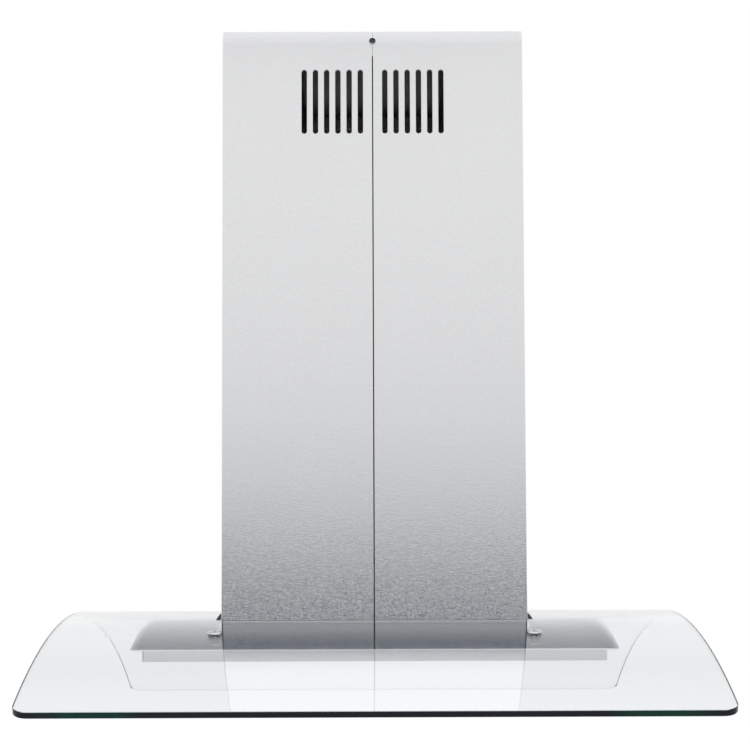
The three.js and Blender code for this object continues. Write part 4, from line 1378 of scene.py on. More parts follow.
def blowerCase():
    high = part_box("blower_case")[1]
    wall = blower["wall"]
    halfX, halfY = high.x - blower["flange"], high.y - blower["flange"]
    walls = archedRing((halfX, halfY), (halfX - wall, halfY - wall), 2 * mm,
                       lambda point: Vector((0, 0, high.z - point.z)))
    foot = archedRing((high.x, high.y), (halfX - 0.4 * mm, halfY - 0.4 * mm), 4 * mm,
                      lambda point: inwards(point, -wall))

    def lidOutlines(shape):
        rectangleOutline(shape, halfX - wall + 0.1 * mm, halfY - wall + 0.1 * mm, 1 * mm)
        circleOutline(shape, blower["outletRadius"], steps=64)

    lidTop = high.z - 0.2 * mm
    parts = [walls, foot, flatPlate(lidOutlines, wall, 0.2 * mm, (0, 0, lidTop - wall))]
    ribLow, ribHigh = datum + 125 * mm, high.z - 18 * mm
    half, proud = blower["ribWidth"] / 2, blower["ribProud"]
    for place in blower["ribPlaces"]:
        for side in (-1, 1):
            inner, outer = onSide(side, halfX - 0.3 * mm, halfX + proud)
            parts.append(solidBox((inner, place - half, ribLow),
                                  (outer, place + half, ribHigh), 0.6 * mm, 3))
            inner, outer = onSide(side, halfY - 0.3 * mm, halfY + proud)
            parts.append(solidBox((place - half, inner, ribLow),
                                  (place + half, outer, ribHigh), 0.6 * mm, 3))
    for x, y in corners:
        parts.append(painted(crossHead(3 * mm, 1.5 * mm, (x * (halfX - 6 * mm), y * 30 * mm, lidTop)), 1))
        parts.append(painted(crossHead(3 * mm, 1.5 * mm, (x * 40 * mm, y * (halfY - 6 * mm), lidTop)), 1))
        for share in (0.3, 0.9):
            place = onArch(x * share * halfX, y * (halfY + 4.2 * mm), blower["seat"] + wall)
            parts.append(painted(crossHead(2.6 * mm, 1.4 * mm, place), 1))
    for side in (-1, 1):
        for index in range(6):
            height = ribLow + (ribHigh - ribLow) * index / 5
            parts.append(rivet(2 * mm, (side * (halfX - 9 * mm), -halfY, height), (0, -1, 0)))
    newPiece("blower_housing", "blower_case", parts, "galvanised_steel", "polished_steel")


blowerCase()


fanAxis = middleOf("motor_shaft")
scroll = {
    "tongueAngle": 60,
    "tongueRadius": 88 * mm,
    "growth": 26 * mm,
    "steps": 36,
    "wall": 2 * mm,
    "outletFront": -20 * mm,
    "outletRear": 68 * mm,
    "tongueTip": (36.5 * mm, 262 * mm),
    "inlet": 62 * mm,
    "flange": 2 * mm,
    "clipAngles": (100, 150, 200, 250, 300, 345),
}


def spiralPoint(angle, inset):
    share = (angle - scroll["tongueAngle"]) / (360 - scroll["tongueAngle"])
    radius = scroll["tongueRadius"] + scroll["growth"] * share - inset
    turn = math.radians(angle)
    return fanAxis.y + radius * math.cos(turn), fanAxis.z + radius * math.sin(turn)


def spiral(inset, start, end):
    steps = scroll["steps"]
    return [spiralPoint(start + (end - start) * step / steps, inset) for step in range(steps + 1)]


def scrollHalf(name, node):
    low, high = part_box(node)
    top, wall = high.z, scroll["wall"]
    side = 1 if high.x > -low.x else -1
    front, rear, start = scroll["outletFront"], scroll["outletRear"], scroll["tongueAngle"]
    outside = [(front, top)] + spiral(0, start, 360) + [(rear, top)]
    tip = (scroll["tongueTip"][0], datum + scroll["tongueTip"][1])
    inside = [(front + 1.25 * wall, top), tip] + spiral(wall, start, 360) + [(rear - wall, top)]

    def bandOutlines(shape):
        loopOutline(shape, outside + inside[::-1])

    def sideOutlines(shape):
        loopOutline(shape, outside)
        circleOutline(shape, scroll["inlet"], (fanAxis.y, fanAxis.z), 64)

    def flangeOutlines(shape):
        loopOutline(shape, spiral(-scroll["flange"], 76, 352) + spiral(0.2 * mm, 76, 352)[::-1])

    split, end = (low.x, high.x) if side > 0 else (high.x, low.x)
    sideLow = end - wall if side > 0 else end
    flangeLow = split if side > 0 else split - 3 * mm
    parts = [flatPlate(bandOutlines, high.x - low.x - 0.2 * mm, 0.3 * mm, (low.x + 0.1 * mm, 0, 0), faceX),
             flatPlate(sideOutlines, wall, 0.3 * mm, (sideLow, 0, 0), faceX),
             flatPlate(flangeOutlines, 3 * mm, 0.4 * mm, (flangeLow, 0, 0), faceX)]
    mouthLow = end - side * 5.5 * mm
    near, far = sorted((mouthLow, end - side * 1 * mm))
    parts.append(ringShape(scroll["inlet"], scroll["inlet"] + 2.4 * mm, near, far, 0.9 * mm, 64,
                           (0, fanAxis.y, fanAxis.z), (1, 0, 0)))
    for angle in scroll["clipAngles"]:
        y, z = spiralPoint(angle, -1.4 * mm)
        near, far = sorted((split + side * 0.5 * mm, split + side * 13 * mm))
        clip = solidBox((near, -5 * mm, -1.6 * mm), (far, 5 * mm, 1.6 * mm), 0.7 * mm, 3)
        turn = Matrix.Rotation(math.radians(angle - 90), 4, "X")
        parts.append(moved(clip, (0, y, z), turn))
    newPiece(name, node, parts, "grey_plastic")


scrollHalf("volute_right", "scroll_right")
scrollHalf("volute_left", "scroll_left")


fan = {
    "radius": 80 * mm,
    "eye": 65 * mm,
    "blades": 20,
    "sweep": 13,  # degrees
    "halfWidth": 52 * mm,
    "bladeSheet": 1.4 * mm,
    "bore": 4.3 * mm,
}
alongFan = {"place": (0, fanAxis.y, fanAxis.z), "axis": (1, 0, 0)}


def fanWheel():
    parts = []
    for index in range(fan["blades"]):
        start = 360 * (index + 0.5) / fan["blades"]
        section = []
        for step in range(8):
            share = step / 7
            turn = math.radians(start + fan["sweep"] * share ** 1.7)
            radius = fan["eye"] + (fan["radius"] - 1.5 * mm - fan["eye"]) * share
            section.append((fanAxis.y + radius * math.cos(turn), fanAxis.z + radius * math.sin(turn)))
        parts.append(channelStrip(section, -fan["halfWidth"] + 1 * mm, fan["halfWidth"] - 1 * mm,
                                  fan["bladeSheet"]))
    for side in (-1, 1):
        near, far = onSide(side, fan["halfWidth"], fan["halfWidth"] - 3 * mm)
        parts.append(ringShape(fan["radius"] - 8 * mm, fan["radius"], near, far, 0.6 * mm, 72, **alongFan))
    bore, rim = fan["bore"], fan["radius"] - 1 * mm
    web = spunShape([
        (bore, -14 * mm), (11.4 * mm, -14 * mm), (12 * mm, -13.4 * mm), (12 * mm, -2.2 * mm),
        (13.2 * mm, -1 * mm), (38 * mm, -1 * mm), (41 * mm, -0.3 * mm), (58 * mm, -0.3 * mm),
        (61 * mm, -1 * mm), (rim, -1 * mm), (rim, 1 * mm), (61 * mm, 1 * mm), (58 * mm, 1.7 * mm),
        (41 * mm, 1.7 * mm), (38 * mm, 1 * mm), (13.2 * mm, 1 * mm), (12 * mm, 2.2 * mm),
        (12 * mm, 6.4 * mm), (11.4 * mm, 7 * mm), (bore, 7 * mm), (bore, -14 * mm),
    ], 64, alongFan["place"], alongFan["axis"])
    parts.append(web)
    setScrew = ringShape(0.8 * mm, 2 * mm, 0, 1.2 * mm, 0.2 * mm, 16,
                         (-8 * mm, fanAxis.y, fanAxis.z + 11.6 * mm))
    parts.append(painted(setScrew, 1))
    newPiece("impeller", "fan_wheel", parts, "black_plastic", "polished_steel")


def driveShaft():
    low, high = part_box("motor_shaft")
    radius = high.y - fanAxis.y
    shaft = spunShape([
        (0, low.x), (radius - 0.6 * mm, low.x), (radius, low.x + 0.6 * mm), (radius, low.x + 2.2 * mm),
        (radius - 0.4 * mm, low.x + 2.3 * mm), (radius - 0.4 * mm, low.x + 3.1 * mm),
        (radius, low.x + 3.2 * mm), (radius, high.x - 0.5 * mm), (radius - 0.5 * mm, high.x),
        (0, high.x),
    ], 32, alongFan["place"], alongFan["axis"])
    newPiece("drive_shaft", "motor_shaft", [shaft], "polished_steel")


motorSizes = {
    "radius": 42 * mm,
    "stackStart": 36 * mm,
    "stackEnd": 58 * mm,
    "laminations": 14,
    "vents": 10,
    "bolts": 4,
}


def motorPiece():
    low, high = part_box("motor")
    radius, bore = motorSizes["radius"], fan["bore"]
    start, end = motorSizes["stackStart"], motorSizes["stackEnd"]
    face = high.x - 1.6 * mm
    front = [(0, 32 * mm), (bore, 32 * mm), (bore, low.x), (13.4 * mm, low.x), (14 * mm, low.x + 0.6 * mm),
             (14 * mm, 13.2 * mm), (15 * mm, 14 * mm), (34 * mm, 14 * mm), (38 * mm, 15 * mm),
             (41 * mm, 18 * mm), (radius - 0.3 * mm, 22 * mm), (radius - 0.3 * mm, start)]
    rear = [(radius - 0.3 * mm, end), (radius - 0.3 * mm, 82 * mm), (41 * mm, 86 * mm),
            (37 * mm, face - 1 * mm), (34 * mm, face), (12 * mm, face), (11 * mm, face + 1 * mm),
            (8 * mm, face + 1.4 * mm), (0, face + 1.4 * mm)]
    stack = []
    pitch = (end - start) / motorSizes["laminations"]
    for index in range(motorSizes["laminations"]):
        begin = start + index * pitch
        stack += [(radius, begin + 0.15 * pitch), (radius, begin + 0.85 * pitch),
                  (radius - 0.35 * mm, begin + pitch)]
    parts = [spunShape(front + stack + rear, 64, alongFan["place"], alongFan["axis"])]
    # The end bell's vents are dark boxes set into its face: painted shade where vent openings would show
    # the dark inside.
    for index in range(motorSizes["vents"]):
        turn = Matrix.Rotation(2 * math.pi * index / motorSizes["vents"], 4, "X")
        paintedVentShade = solidBox((face - 1 * mm, -1.6 * mm, 20 * mm), (face + 0.25 * mm, 1.6 * mm, 31 * mm),
                        0.5 * mm)
        parts.append(painted(moved(paintedVentShade, (0, fanAxis.y, fanAxis.z), turn), 1))
    for index in range(motorSizes["bolts"]):
        turn = 2 * math.pi * (index + 0.5) / motorSizes["bolts"]
        y, z = fanAxis.y + 34 * mm * math.cos(turn), fanAxis.z + 34 * mm * math.sin(turn)
        nut = spunShape(inMillimetres((0, 0), (2.4, 0), (2.8, 0.3), (2.8, 1.4), (2.4, 1.6), (0, 1.6)), 6,
                        (face - 0.1 * mm, y, z), (1, 0, 0))
        parts.append(painted(nut, 2))
    newPiece("fan_motor", "motor", parts, "galvanised_steel", "black_plastic", "polished_steel")


bracket = {
    "inner": 42.4 * mm,
    "outer": 45 * mm,
    "flange": 50 * mm,
    "sheet": 2 * mm,
    "armMiddle": 59 * mm,
    "screwReach": 68 * mm,
    "armAngles": (-30, 90, 210),
}


def motorBracket():
    low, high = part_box("motor_bracket")
    inner, reach, sheet = bracket["inner"], bracket["screwReach"], bracket["sheet"]
    parts = [ringShape(inner, bracket["outer"], low.x, high.x, 0.5 * mm, 64, **alongFan),
             ringShape(inner, bracket["flange"], low.x, low.x + sheet, 0.5 * mm, 64, **alongFan)]

    def armOutlines(shape):
        rectangleOutline(shape, 15 * mm, 7 * mm, 6 * mm, (bracket["armMiddle"], 0), 8)
        circleOutline(shape, 2.4 * mm, (reach, 0), 20)

    for angle in bracket["armAngles"]:
        lean = math.radians(angle)
        turn = Matrix.Rotation(lean, 4, "X") @ faceX
        parts.append(flatPlate(armOutlines, sheet, 0.3 * mm, (low.x, fanAxis.y, fanAxis.z), turn))
        y, z = fanAxis.y + reach * math.cos(lean), fanAxis.z + reach * math.sin(lean)
        parts.append(painted(ringShape(1.6 * mm, 5 * mm, 1.9 * mm, 4.4 * mm, 0.9 * mm, 24, (low.x, y, z),
                                       (1, 0, 0)), 1))
        parts.append(painted(crossHead(3.2 * mm, 1.8 * mm, (low.x + 4.2 * mm, y, z), (1, 0, 0)), 2))
    newPiece("motor_mount", "motor_bracket", parts, "galvanised_steel", "rubber", "polished_steel")


def runCapacitor():
    low, high, middle = spanOf("motor_capacitor")
    radius = high.x - middle.x
    can = spunShape([
        (0, 0), (radius - 1.4 * mm, 0), (radius - 0.3 * mm, 0.8 * mm), (radius, 2 * mm), (radius, 39 * mm),
        (radius - 0.7 * mm, 40.2 * mm), (radius - 0.7 * mm, 41.6 * mm), (radius, 42.6 * mm),
        (radius, 44.4 * mm), (radius - 0.5 * mm, 45 * mm), (radius - 1.4 * mm, 44.8 * mm),
        (radius - 1.6 * mm, 43.8 * mm), (radius - 1.8 * mm, 43.4 * mm), (0, 43.4 * mm),
    ], 48, (middle.x, middle.y, low.z))
    cap = ringShape(0.2 * mm, radius - 2.4 * mm, 43.2 * mm, 46 * mm, 0.5 * mm, 48,
                    (middle.x, middle.y, low.z))
    parts = [can, painted(cap, 1)]
    for side in (-1, 1):
        x = middle.x + side * 4 * mm
        parts.append(painted(solidBox((x - 0.5 * mm, middle.y - 3 * mm, low.z + 45.6 * mm),
                                      (x + 0.5 * mm, middle.y + 3 * mm, high.z), 0.2 * mm), 2))
    band = ringShape(radius - 0.1 * mm, radius + 0.9 * mm, 12 * mm, 22 * mm, 0.3 * mm, 48,
                     (middle.x, middle.y, low.z))
    parts.append(painted(band, 2))
    newPiece("run_capacitor", "motor_capacitor", parts, "aluminium", "black_plastic", "polished_steel")


fanWheel()
driveShaft()
motorPiece()
motorBracket()
runCapacitor()
print("blower made")


collar = {
    "outer": 75 * mm,
    "inner": 73 * mm,
    "seatInner": 69 * mm,
    "seatUnderPin": 2 * mm,
    "flange": 88 * mm,
}
pinMiddle = middleOf("flap_pin")


def outletCollar():
    low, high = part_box("outlet_collar")
    outer, inner, flange = collar["outer"], collar["inner"], collar["flange"]
    seat = pinMiddle.z - collar["seatUnderPin"] - low.z
    tall = high.z - low.z
    profile = [(inner, 0.3 * mm), (inner + 0.3 * mm, 0), (flange - 0.4 * mm, 0), (flange, 0.4 * mm),
               (flange, 1.6 * mm), (flange - 0.4 * mm, 2 * mm), (outer + 2 * mm, 2 * mm),
               (outer + 0.6 * mm, 2.5 * mm), (outer, 4 * mm)]
    for bead in (tall - 22 * mm, tall - 10 * mm):
        profile += [(outer, bead - 1.4 * mm), (outer + 0.8 * mm, bead - 0.6 * mm),
                    (outer + 0.8 * mm, bead + 0.6 * mm), (outer, bead + 1.4 * mm)]
    profile += [(outer, tall - 1 * mm), (outer - 0.6 * mm, tall), (inner + 0.4 * mm, tall),
                (inner, tall - 0.5 * mm), (inner, seat), (collar["seatInner"] + 0.3 * mm, seat),
                (collar["seatInner"], seat - 0.3 * mm), (collar["seatInner"], seat - 1.2 * mm),
                (collar["seatInner"] + 0.3 * mm, seat - 1.5 * mm), (inner, seat - 1.5 * mm),
                (inner, 0.3 * mm)]
    parts = [spunShape(profile, 96, (0, 0, low.z))]
    for index in range(4):
        turn = math.radians(45 + 90 * index)
        place = (82.5 * mm * math.cos(turn), 82.5 * mm * math.sin(turn), low.z + 2 * mm)
        parts.append(painted(crossHead(3 * mm, 1.6 * mm, place), 1))
    for side in (-1, 1):
        near, far = onSide(side, outer - 0.2 * mm, outer + 0.8 * mm)
        parts.append(ringShape(1.7 * mm, 4 * mm, near, far, 0.3 * mm, 24, (0, 0, pinMiddle.z), (1, 0, 0)))
    newPiece("duct_collar", "outlet_collar", parts, "black_plastic", "polished_steel")


def flapPin():
    low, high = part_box("flap_pin")
    radius = high.z - pinMiddle.z
    pin = spunShape([(0, low.x), (radius - 0.4 * mm, low.x), (radius, low.x + 0.4 * mm),
                     (radius, high.x - 0.4 * mm), (radius - 0.4 * mm, high.x), (0, high.x)], 24,
                    (0, 0, pinMiddle.z), (1, 0, 0))
    newPiece("hinge_pin", "flap_pin", [pin], "polished_steel")


flap = {
    "radius": 71 * mm,
    "sheet": 1.2 * mm,
    "start": 3.2 * mm,
    "clear": 4.5 * mm,
    "knuckle": 4 * mm,
    "bore": 1.9 * mm,
    "ribs": (-50 * mm, -25 * mm, 0, 25 * mm, 50 * mm),
    "end": 60 * mm,
    "innerEnd": 19.5 * mm,
    # where along the pin the knuckles of the two flaps sit
    "outer": ((-60 * mm, -20 * mm), (20 * mm, 60 * mm)),
    "middle": ((-18 * mm, 18 * mm),),
}


def backdraftFlap(name, node, own, other, turned):
    radius, start, clear = flap["radius"], flap["start"], flap["clear"]
    end = flap["end"] if own == "outer" else flap["innerEnd"]
    edge = [(-end, clear), (-end, start)]
    if own == "outer":
        for low, high in flap[other]:
            low, high = low - 0.5 * mm, high + 0.5 * mm
            edge += [(low, start), (low, clear), (high, clear), (high, start)]
    edge += [(end, start), (end, clear)]
    first = math.degrees(math.asin(clear / radius))

    def outlines(shape):
        loopOutline(shape, edge + arcPoints((0, 0), radius, first, 180 - first, 40))

    half = flap["sheet"] / 2
    parts = [flatPlate(outlines, flap["sheet"], 0.25 * mm, (0, 0, -half))]
    for low, high in flap[own]:
        parts.append(ringShape(flap["bore"], flap["knuckle"], low, high, 0.4 * mm, 24, axis=(1, 0, 0)))
    for x in flap["ribs"]:
        reach = math.sqrt((radius - 4 * mm) ** 2 - x ** 2)
        parts.append(solidBox((x - 0.7 * mm, 14 * mm, half - 0.2 * mm),
                              (x + 0.7 * mm, reach, half + 1 * mm), 0.4 * mm))
    rim, inner = [arcPoints((0, 0), radius - inset, 14, 166, 36) for inset in (2 * mm, 4 * mm)]

    def rimOutlines(shape):
        loopOutline(shape, rim + inner[::-1])

    parts.append(flatPlate(rimOutlines, 1 * mm, 0.3 * mm, (0, 0, half - 0.2 * mm)))
    whole = moved(joined(*parts), (0, 0, pinMiddle.z), halfTurn(turned))
    newPiece(name, node, [whole], "grey_plastic")


outletCollar()
flapPin()
backdraftFlap("damper_rear", "flap_rear", "outer", "middle", False)
backdraftFlap("damper_front", "flap_front", "middle", "outer", True)


def junctionBox():
    low, high, middle = spanOf("junction_box")
    split = high.z - 7 * mm
    parts = [solidBox(low, (high.x, high.y, split), 1.6 * mm, 3),
             solidBox((low.x + 1 * mm, low.y + 1 * mm, split - 1 * mm),
                      (high.x - 1 * mm, high.y - 1 * mm, split + 1 * mm), 0),
             solidBox((low.x, low.y, split + 0.5 * mm), high, 1.6 * mm, 3)]
    for x, y in cornersOf(low, high, 5.5 * mm):
        parts.append(painted(crossHead(2.4 * mm, 1.2 * mm, (x, y, high.z - 1.2 * mm)), 1))
        parts.append(ringShape(2.8 * mm, 3.6 * mm, 0, 0.5 * mm, 0.15 * mm, 24, (x, y, high.z - 0.3 * mm)))
    height = low.z + 14 * mm
    for side, y in ((-1, low.y), (1, high.y)):
        for size in (9 * mm, 6 * mm):
            parts.append(ringShape(size - 0.7 * mm, size, -0.4 * mm, 0.5 * mm, 0.2 * mm, 32,
                                   (middle.x, y, height),
                                   (0, side, 0)))
    newPiece("wiring_box", "junction_box", parts, "grey_plastic", "polished_steel")


def cableGland():
    low, middle = spanOf("cable_gland")[::2]
    place = (middle.x, middle.y, low.z)
    nut = spunShape(inMillimetres((4.2, 0), (8.4, 0), (9, 0.5), (9, 5.4), (8.4, 5.9), (4.2, 5.9), (4.2, 0)),
                    6, place)
    washer = ringShape(4.2 * mm, 8.6 * mm, 5.8 * mm, 8 * mm, 0.4 * mm, 40, place)
    dome = spunShape(inMillimetres((4, 7.6), (7.5, 7.6), (7.5, 15), (7.2, 17), (6, 18.8), (4.8, 19.8),
                                   (4, 20), (3.6, 19.4), (3.6, 7.6), (4, 7.6)), 40, place)
    parts = [nut, washer, dome]
    for index in range(16):
        turn = Matrix.Rotation(2 * math.pi * index / 16, 4, "Z")
        rib = solidBox((7.2 * mm, -0.5 * mm, 8.6 * mm), (8 * mm, 0.5 * mm, 15 * mm), 0.3 * mm)
        parts.append(moved(rib, place, turn))
    seal = ringShape(2.6 * mm, 3.8 * mm, 12 * mm, 19.2 * mm, 0.4 * mm, 32, place)
    parts.append(painted(seal, 1))
    newPiece("cord_gland", "cable_gland", parts, "black_plastic", "rubber")


junctionBox()
cableGland()
print("outlet and wiring made")


posts = {
    "wall": 1.5 * mm,
    "bend": 2 * mm,
    "lowerLeg": 22 * mm,
    "upperLeg": 25 * mm,
    "slotWidth": 6 * mm,
    "slotLength": 16 * mm,
    "slotPitch": 32 * mm,
    "firstSlot": 24 * mm,
    "lowerBar": 470 * mm,
    "upperBar": 205 * mm,
    "barHeight": 20 * mm,
    "footStepX": 137.3 * mm,  # the foot is cut back here, to leave room for the blower's flange
    "footStepY": 13.1 * mm,  # from the post's outer face
    "screwInset": (6 * mm, 7.9 * mm),
    "boltDrops": (14 * mm, 60 * mm),
}


def anglePost(cornerX, cornerY, leg, low, high, side):
    # A flat blank with slots, folded along its middle. Its legs run back from the corner.
    bend, wall = posts["bend"], posts["wall"]
    straight, arc = leg - bend, bend * math.pi / 2
    half = straight + arc / 2
    shape = bmesh.new()
    rectangleOutline(shape, half, (high - low) / 2, centre=(0, (high + low) / 2))
    count = int((high - low - posts["firstSlot"]) / posts["slotPitch"])
    for index in range(count):
        height = low + posts["firstSlot"] + index * posts["slotPitch"]
        for across in (-1, 1):
            slotOutline(shape, posts["slotWidth"] / 2, posts["slotLength"] / 2,
                        (across * (arc / 2 + 0.55 * straight), height))
    fillOutlines(shape)
    cutAcross(shape, [arc * (step / 5 - 0.5) for step in range(6)])
    joinStrips(shape, -arc / 2, arc / 2)
    thicken(shape, upwards(wall))
    roundEdges(shape, sharpEdges(shape, 50), 0.2 * mm, 1)
    for vert in shape.verts:
        along, height, depth = vert.co
        run = abs(along) - arc / 2
        if run < 0:
            angle = (along + arc / 2) / bend
            x, y = (bend - depth) * math.sin(angle) - bend, (bend - depth) * math.cos(angle) - bend
        elif along < 0:
            x, y = -bend - run, -depth
        else:
            x, y = -depth, -bend - run
        vert.co = (cornerX + x, side * (cornerY + y), height)
    faceOutwards(shape)
    return shape


def crossBar(outer, halfY, low):
    def outlines(shape):
        rectangleOutline(shape, halfY, posts["barHeight"] / 2, 1 * mm, (0, low + posts["barHeight"] / 2))
        for y in (-90 * mm, -30 * mm, 30 * mm, 90 * mm):
            rectangleOutline(shape, 15 * mm, 3 * mm, 2.999 * mm, (y, low + posts["barHeight"] / 2), 4)
    return flatPlate(outlines, posts["wall"], 0.25 * mm, (outer - posts["wall"], 0, 0), faceX)


def lowerFrame(name, node, turned):
    low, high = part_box(node)
    cornerX, cornerY = max(high.x, -low.x), high.y
    leg, seat = posts["lowerLeg"], blower["seat"]
    foot = archHeight(seat, cornerX)
    parts = []
    for side in (-1, 1):
        post = anglePost(cornerX, cornerY, leg, foot, high.z, side)
        for vert in post.verts:
            if vert.co.z < foot + 0.5 * mm:
                vert.co.z += archHeight(seat, vert.co.x) - foot
        parts.append(post)
        nearX, farX = cornerX - leg + 0.2 * mm, cornerX - 0.2 * mm
        stepX = posts["footStepX"]
        nearY, farY = side * (cornerY - leg + 0.2 * mm), side * (cornerY - 0.2 * mm)
        stepY = side * (cornerY - posts["footStepY"])
        tab = bmesh.new()
        loopOutline(tab, [(stepX, nearY), (farX, nearY), (farX, farY), (nearX, farY), (nearX, stepY),
                          (stepX, stepY)])
        fillOutlines(tab)
        bendToArch(tab, seat)
        thicken(tab, lambda point: inwards(point, -posts["wall"]))
        roundEdges(tab, sharpEdges(tab, 50), 0.2 * mm, 1)
        parts.append(tab)
        insetX, insetY = posts["screwInset"]
        place = onArch(cornerX - insetX, side * (cornerY - insetY), seat + posts["wall"])
        parts.append(painted(crossHead(3.4 * mm, 2 * mm, place), 1))
        inner = cornerX - posts["wall"]
        for drop in posts["boltDrops"]:
            bolt = spunShape(inMillimetres((0, 0), (4, 0), (4.4, 0.4), (4.4, 2.4), (4, 2.8), (0, 2.8)), 6,
                             (inner, side * (cornerY - 5.5 * mm), high.z - drop), (-1, 0, 0))
            parts.append(painted(bolt, 1))
    parts.append(crossBar(cornerX - posts["wall"] + 0.2 * mm, cornerY - 1 * mm, datum + posts["lowerBar"]))
    newPiece(name, node, [moved(joined(*parts), turn=halfTurn(turned))], "galvanised_steel",
             "polished_steel")


def upperFrame(name, node, turned):
    low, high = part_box(node)
    cornerX, cornerY = max(high.x, -low.x), high.y
    parts = [anglePost(cornerX, cornerY, posts["upperLeg"], low.z, high.z, side) for side in (-1, 1)]
    parts.append(crossBar(cornerX, cornerY - 2 * mm, datum + posts["upperBar"]))
    newPiece(name, node, [moved(joined(*parts), turn=halfTurn(turned))], "galvanised_steel")


for sideName, onLeft in (("right", False), ("left", True)):
    lowerFrame("canopy_posts_" + sideName, "lower_frame_" + sideName, onLeft)
    upperFrame("ceiling_posts_" + sideName, "upper_frame_" + sideName, onLeft)


ceiling = {
    "thickness": 2 * mm,
    "flangeWall": 1.5 * mm,
    "ductRadius": 80 * mm,
    "keyX": 120 * mm,
    "keyY": 95 * mm,
    "keyRadius": 4 * mm,
    "keySlot": 2.2 * mm,
    "keyLength": 8 * mm,
}


def keyhole(shape, x, y):
    narrow = math.degrees(math.asin(ceiling["keySlot"] / ceiling["keyRadius"]))
    loopOutline(shape, arcPoints((x, y), ceiling["keyRadius"], 90 + narrow, 450 - narrow, 16)
                + arcPoints((x, y + ceiling["keyLength"]), ceiling["keySlot"], 0, 180, 8))


def ceilingPlate():
    low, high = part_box("ceiling_plate")
    wall = ceiling["flangeWall"]

    def plateOutlines(shape):
        rectangleOutline(shape, high.x, high.y, 2 * mm)
        circleOutline(shape, ceiling["ductRadius"], steps=72)
        for x, y in corners:
            keyhole(shape, x * ceiling["keyX"], y * ceiling["keyY"])

    def skirtOutlines(shape):
        rectangleOutline(shape, high.x, high.y, 2 * mm)
        rectangleOutline(shape, high.x - wall, high.y - wall, 0.7 * mm)

    tall = high.z - low.z
    under = high.z - ceiling["thickness"]
    parts = [flatPlate(plateOutlines, ceiling["thickness"], 0.3 * mm, (0, 0, under)),
             flatPlate(skirtOutlines, tall - 0.4 * mm, 0.3 * mm, (0, 0, low.z))]
    duct = ceiling["ductRadius"]
    parts.append(ringShape(duct - 0.2 * mm, duct + 2 * mm, -5 * mm, 0.2 * mm, 0.4 * mm, 72, (0, 0, under)))
    for x in (-98 * mm, 98 * mm):
        parts.append(solidBox((x - 2.5 * mm, -70 * mm, under - 1.4 * mm),
                              (x + 2.5 * mm, 70 * mm, under + 0.2 * mm),
                              0.6 * mm, 3))
    newPiece("ceiling_bracket", "ceiling_plate", parts, "galvanised_steel")


deflector = {
    "wall": 3 * mm,
    "spigotOuter": 75 * mm,
    "box": 25 * mm,  # from the spigot's foot up to the box
    "earX": 60 * mm,
    "earHalf": 10 * mm,
    "roof": 5.7 * mm,  # the ears stand this far above the box
    "ribs": (-120 * mm, -90 * mm, -30 * mm, 0, 30 * mm, 90 * mm, 120 * mm),
}


def airDeflector():
    low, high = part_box("air_deflector")
    wall, floor, roof = deflector["wall"], low.z + deflector["box"], high.z - deflector["roof"]
    halfX, halfY = high.x, high.y
    spigot = deflector["spigotOuter"]

    def floorOutlines(shape):
        rectangleOutline(shape, halfX, halfY - wall + 0.3 * mm)
        circleOutline(shape, spigot - wall, steps=72)

    parts = [flatPlate(floorOutlines, wall, 0.5 * mm, (0, 0, floor)),
             solidBox((-halfX, -halfY + wall - 0.3 * mm, roof - wall),
                      (halfX, halfY - wall + 0.3 * mm, roof), 0.5 * mm)]
    for side in (-1, 1):
        near, far = onSide(side, halfY, halfY - wall)
        ribNear, ribFar = onSide(side, halfY - 0.5 * mm, halfY + 1.2 * mm)
        parts.append(solidBox((-halfX, near, floor), (halfX, far, roof), 0.8 * mm, 3))
        for x in deflector["ribs"]:
            parts.append(solidBox((x - 1 * mm, ribNear, floor + 3 * mm),
                                  (x + 1 * mm, ribFar, roof - 3 * mm), 0.5 * mm))
        for x in (-deflector["earX"], deflector["earX"]):
            parts.append(solidBox((x - deflector["earHalf"], near, roof - 1 * mm),
                                  (x + deflector["earHalf"], far, high.z),
                                  0.6 * mm))
            parts.append(painted(crossHead(2.2 * mm, 1.2 * mm,
                                           (x, side * (halfY - 0.1 * mm), high.z - 3.2 * mm),
                                           (0, side, 0)), 1))
        mouth = halfX - 6 * mm if side > 0 else -halfX

        def mouthOutlines(shape):
            middle = (floor + roof) / 2
            rectangleOutline(shape, halfY + 1.4 * mm, (roof - floor) / 2 + 1.4 * mm, 3 * mm, (0, middle))
            rectangleOutline(shape, halfY - 1 * mm, (roof - floor) / 2 - 1 * mm, 1.5 * mm, (0, middle))

        parts.append(flatPlate(mouthOutlines, 6 * mm, 0.5 * mm, (mouth, 0, 0), faceX))
    tall = deflector["box"] + 1 * mm
    parts.append(spunShape([
        (spigot - wall, 0.6 * mm), (spigot - wall + 0.6 * mm, 0), (spigot - 1.2 * mm, 0),
        (spigot - 0.2 * mm, 1.4 * mm), (spigot - 0.2 * mm, 8 * mm), (spigot + 0.8 * mm, 9 * mm),
        (spigot + 0.8 * mm, 10.4 * mm), (spigot - 0.2 * mm, 11.4 * mm), (spigot, tall),
        (spigot - wall, tall), (spigot - wall, 0.6 * mm),
    ], 96, (0, 0, low.z)))
    newPiece("air_guide", "air_deflector", parts, "deflector_plastic", "polished_steel")


ceilingPlate()
airDeflector()
print("posts, ceiling plate and deflector made")


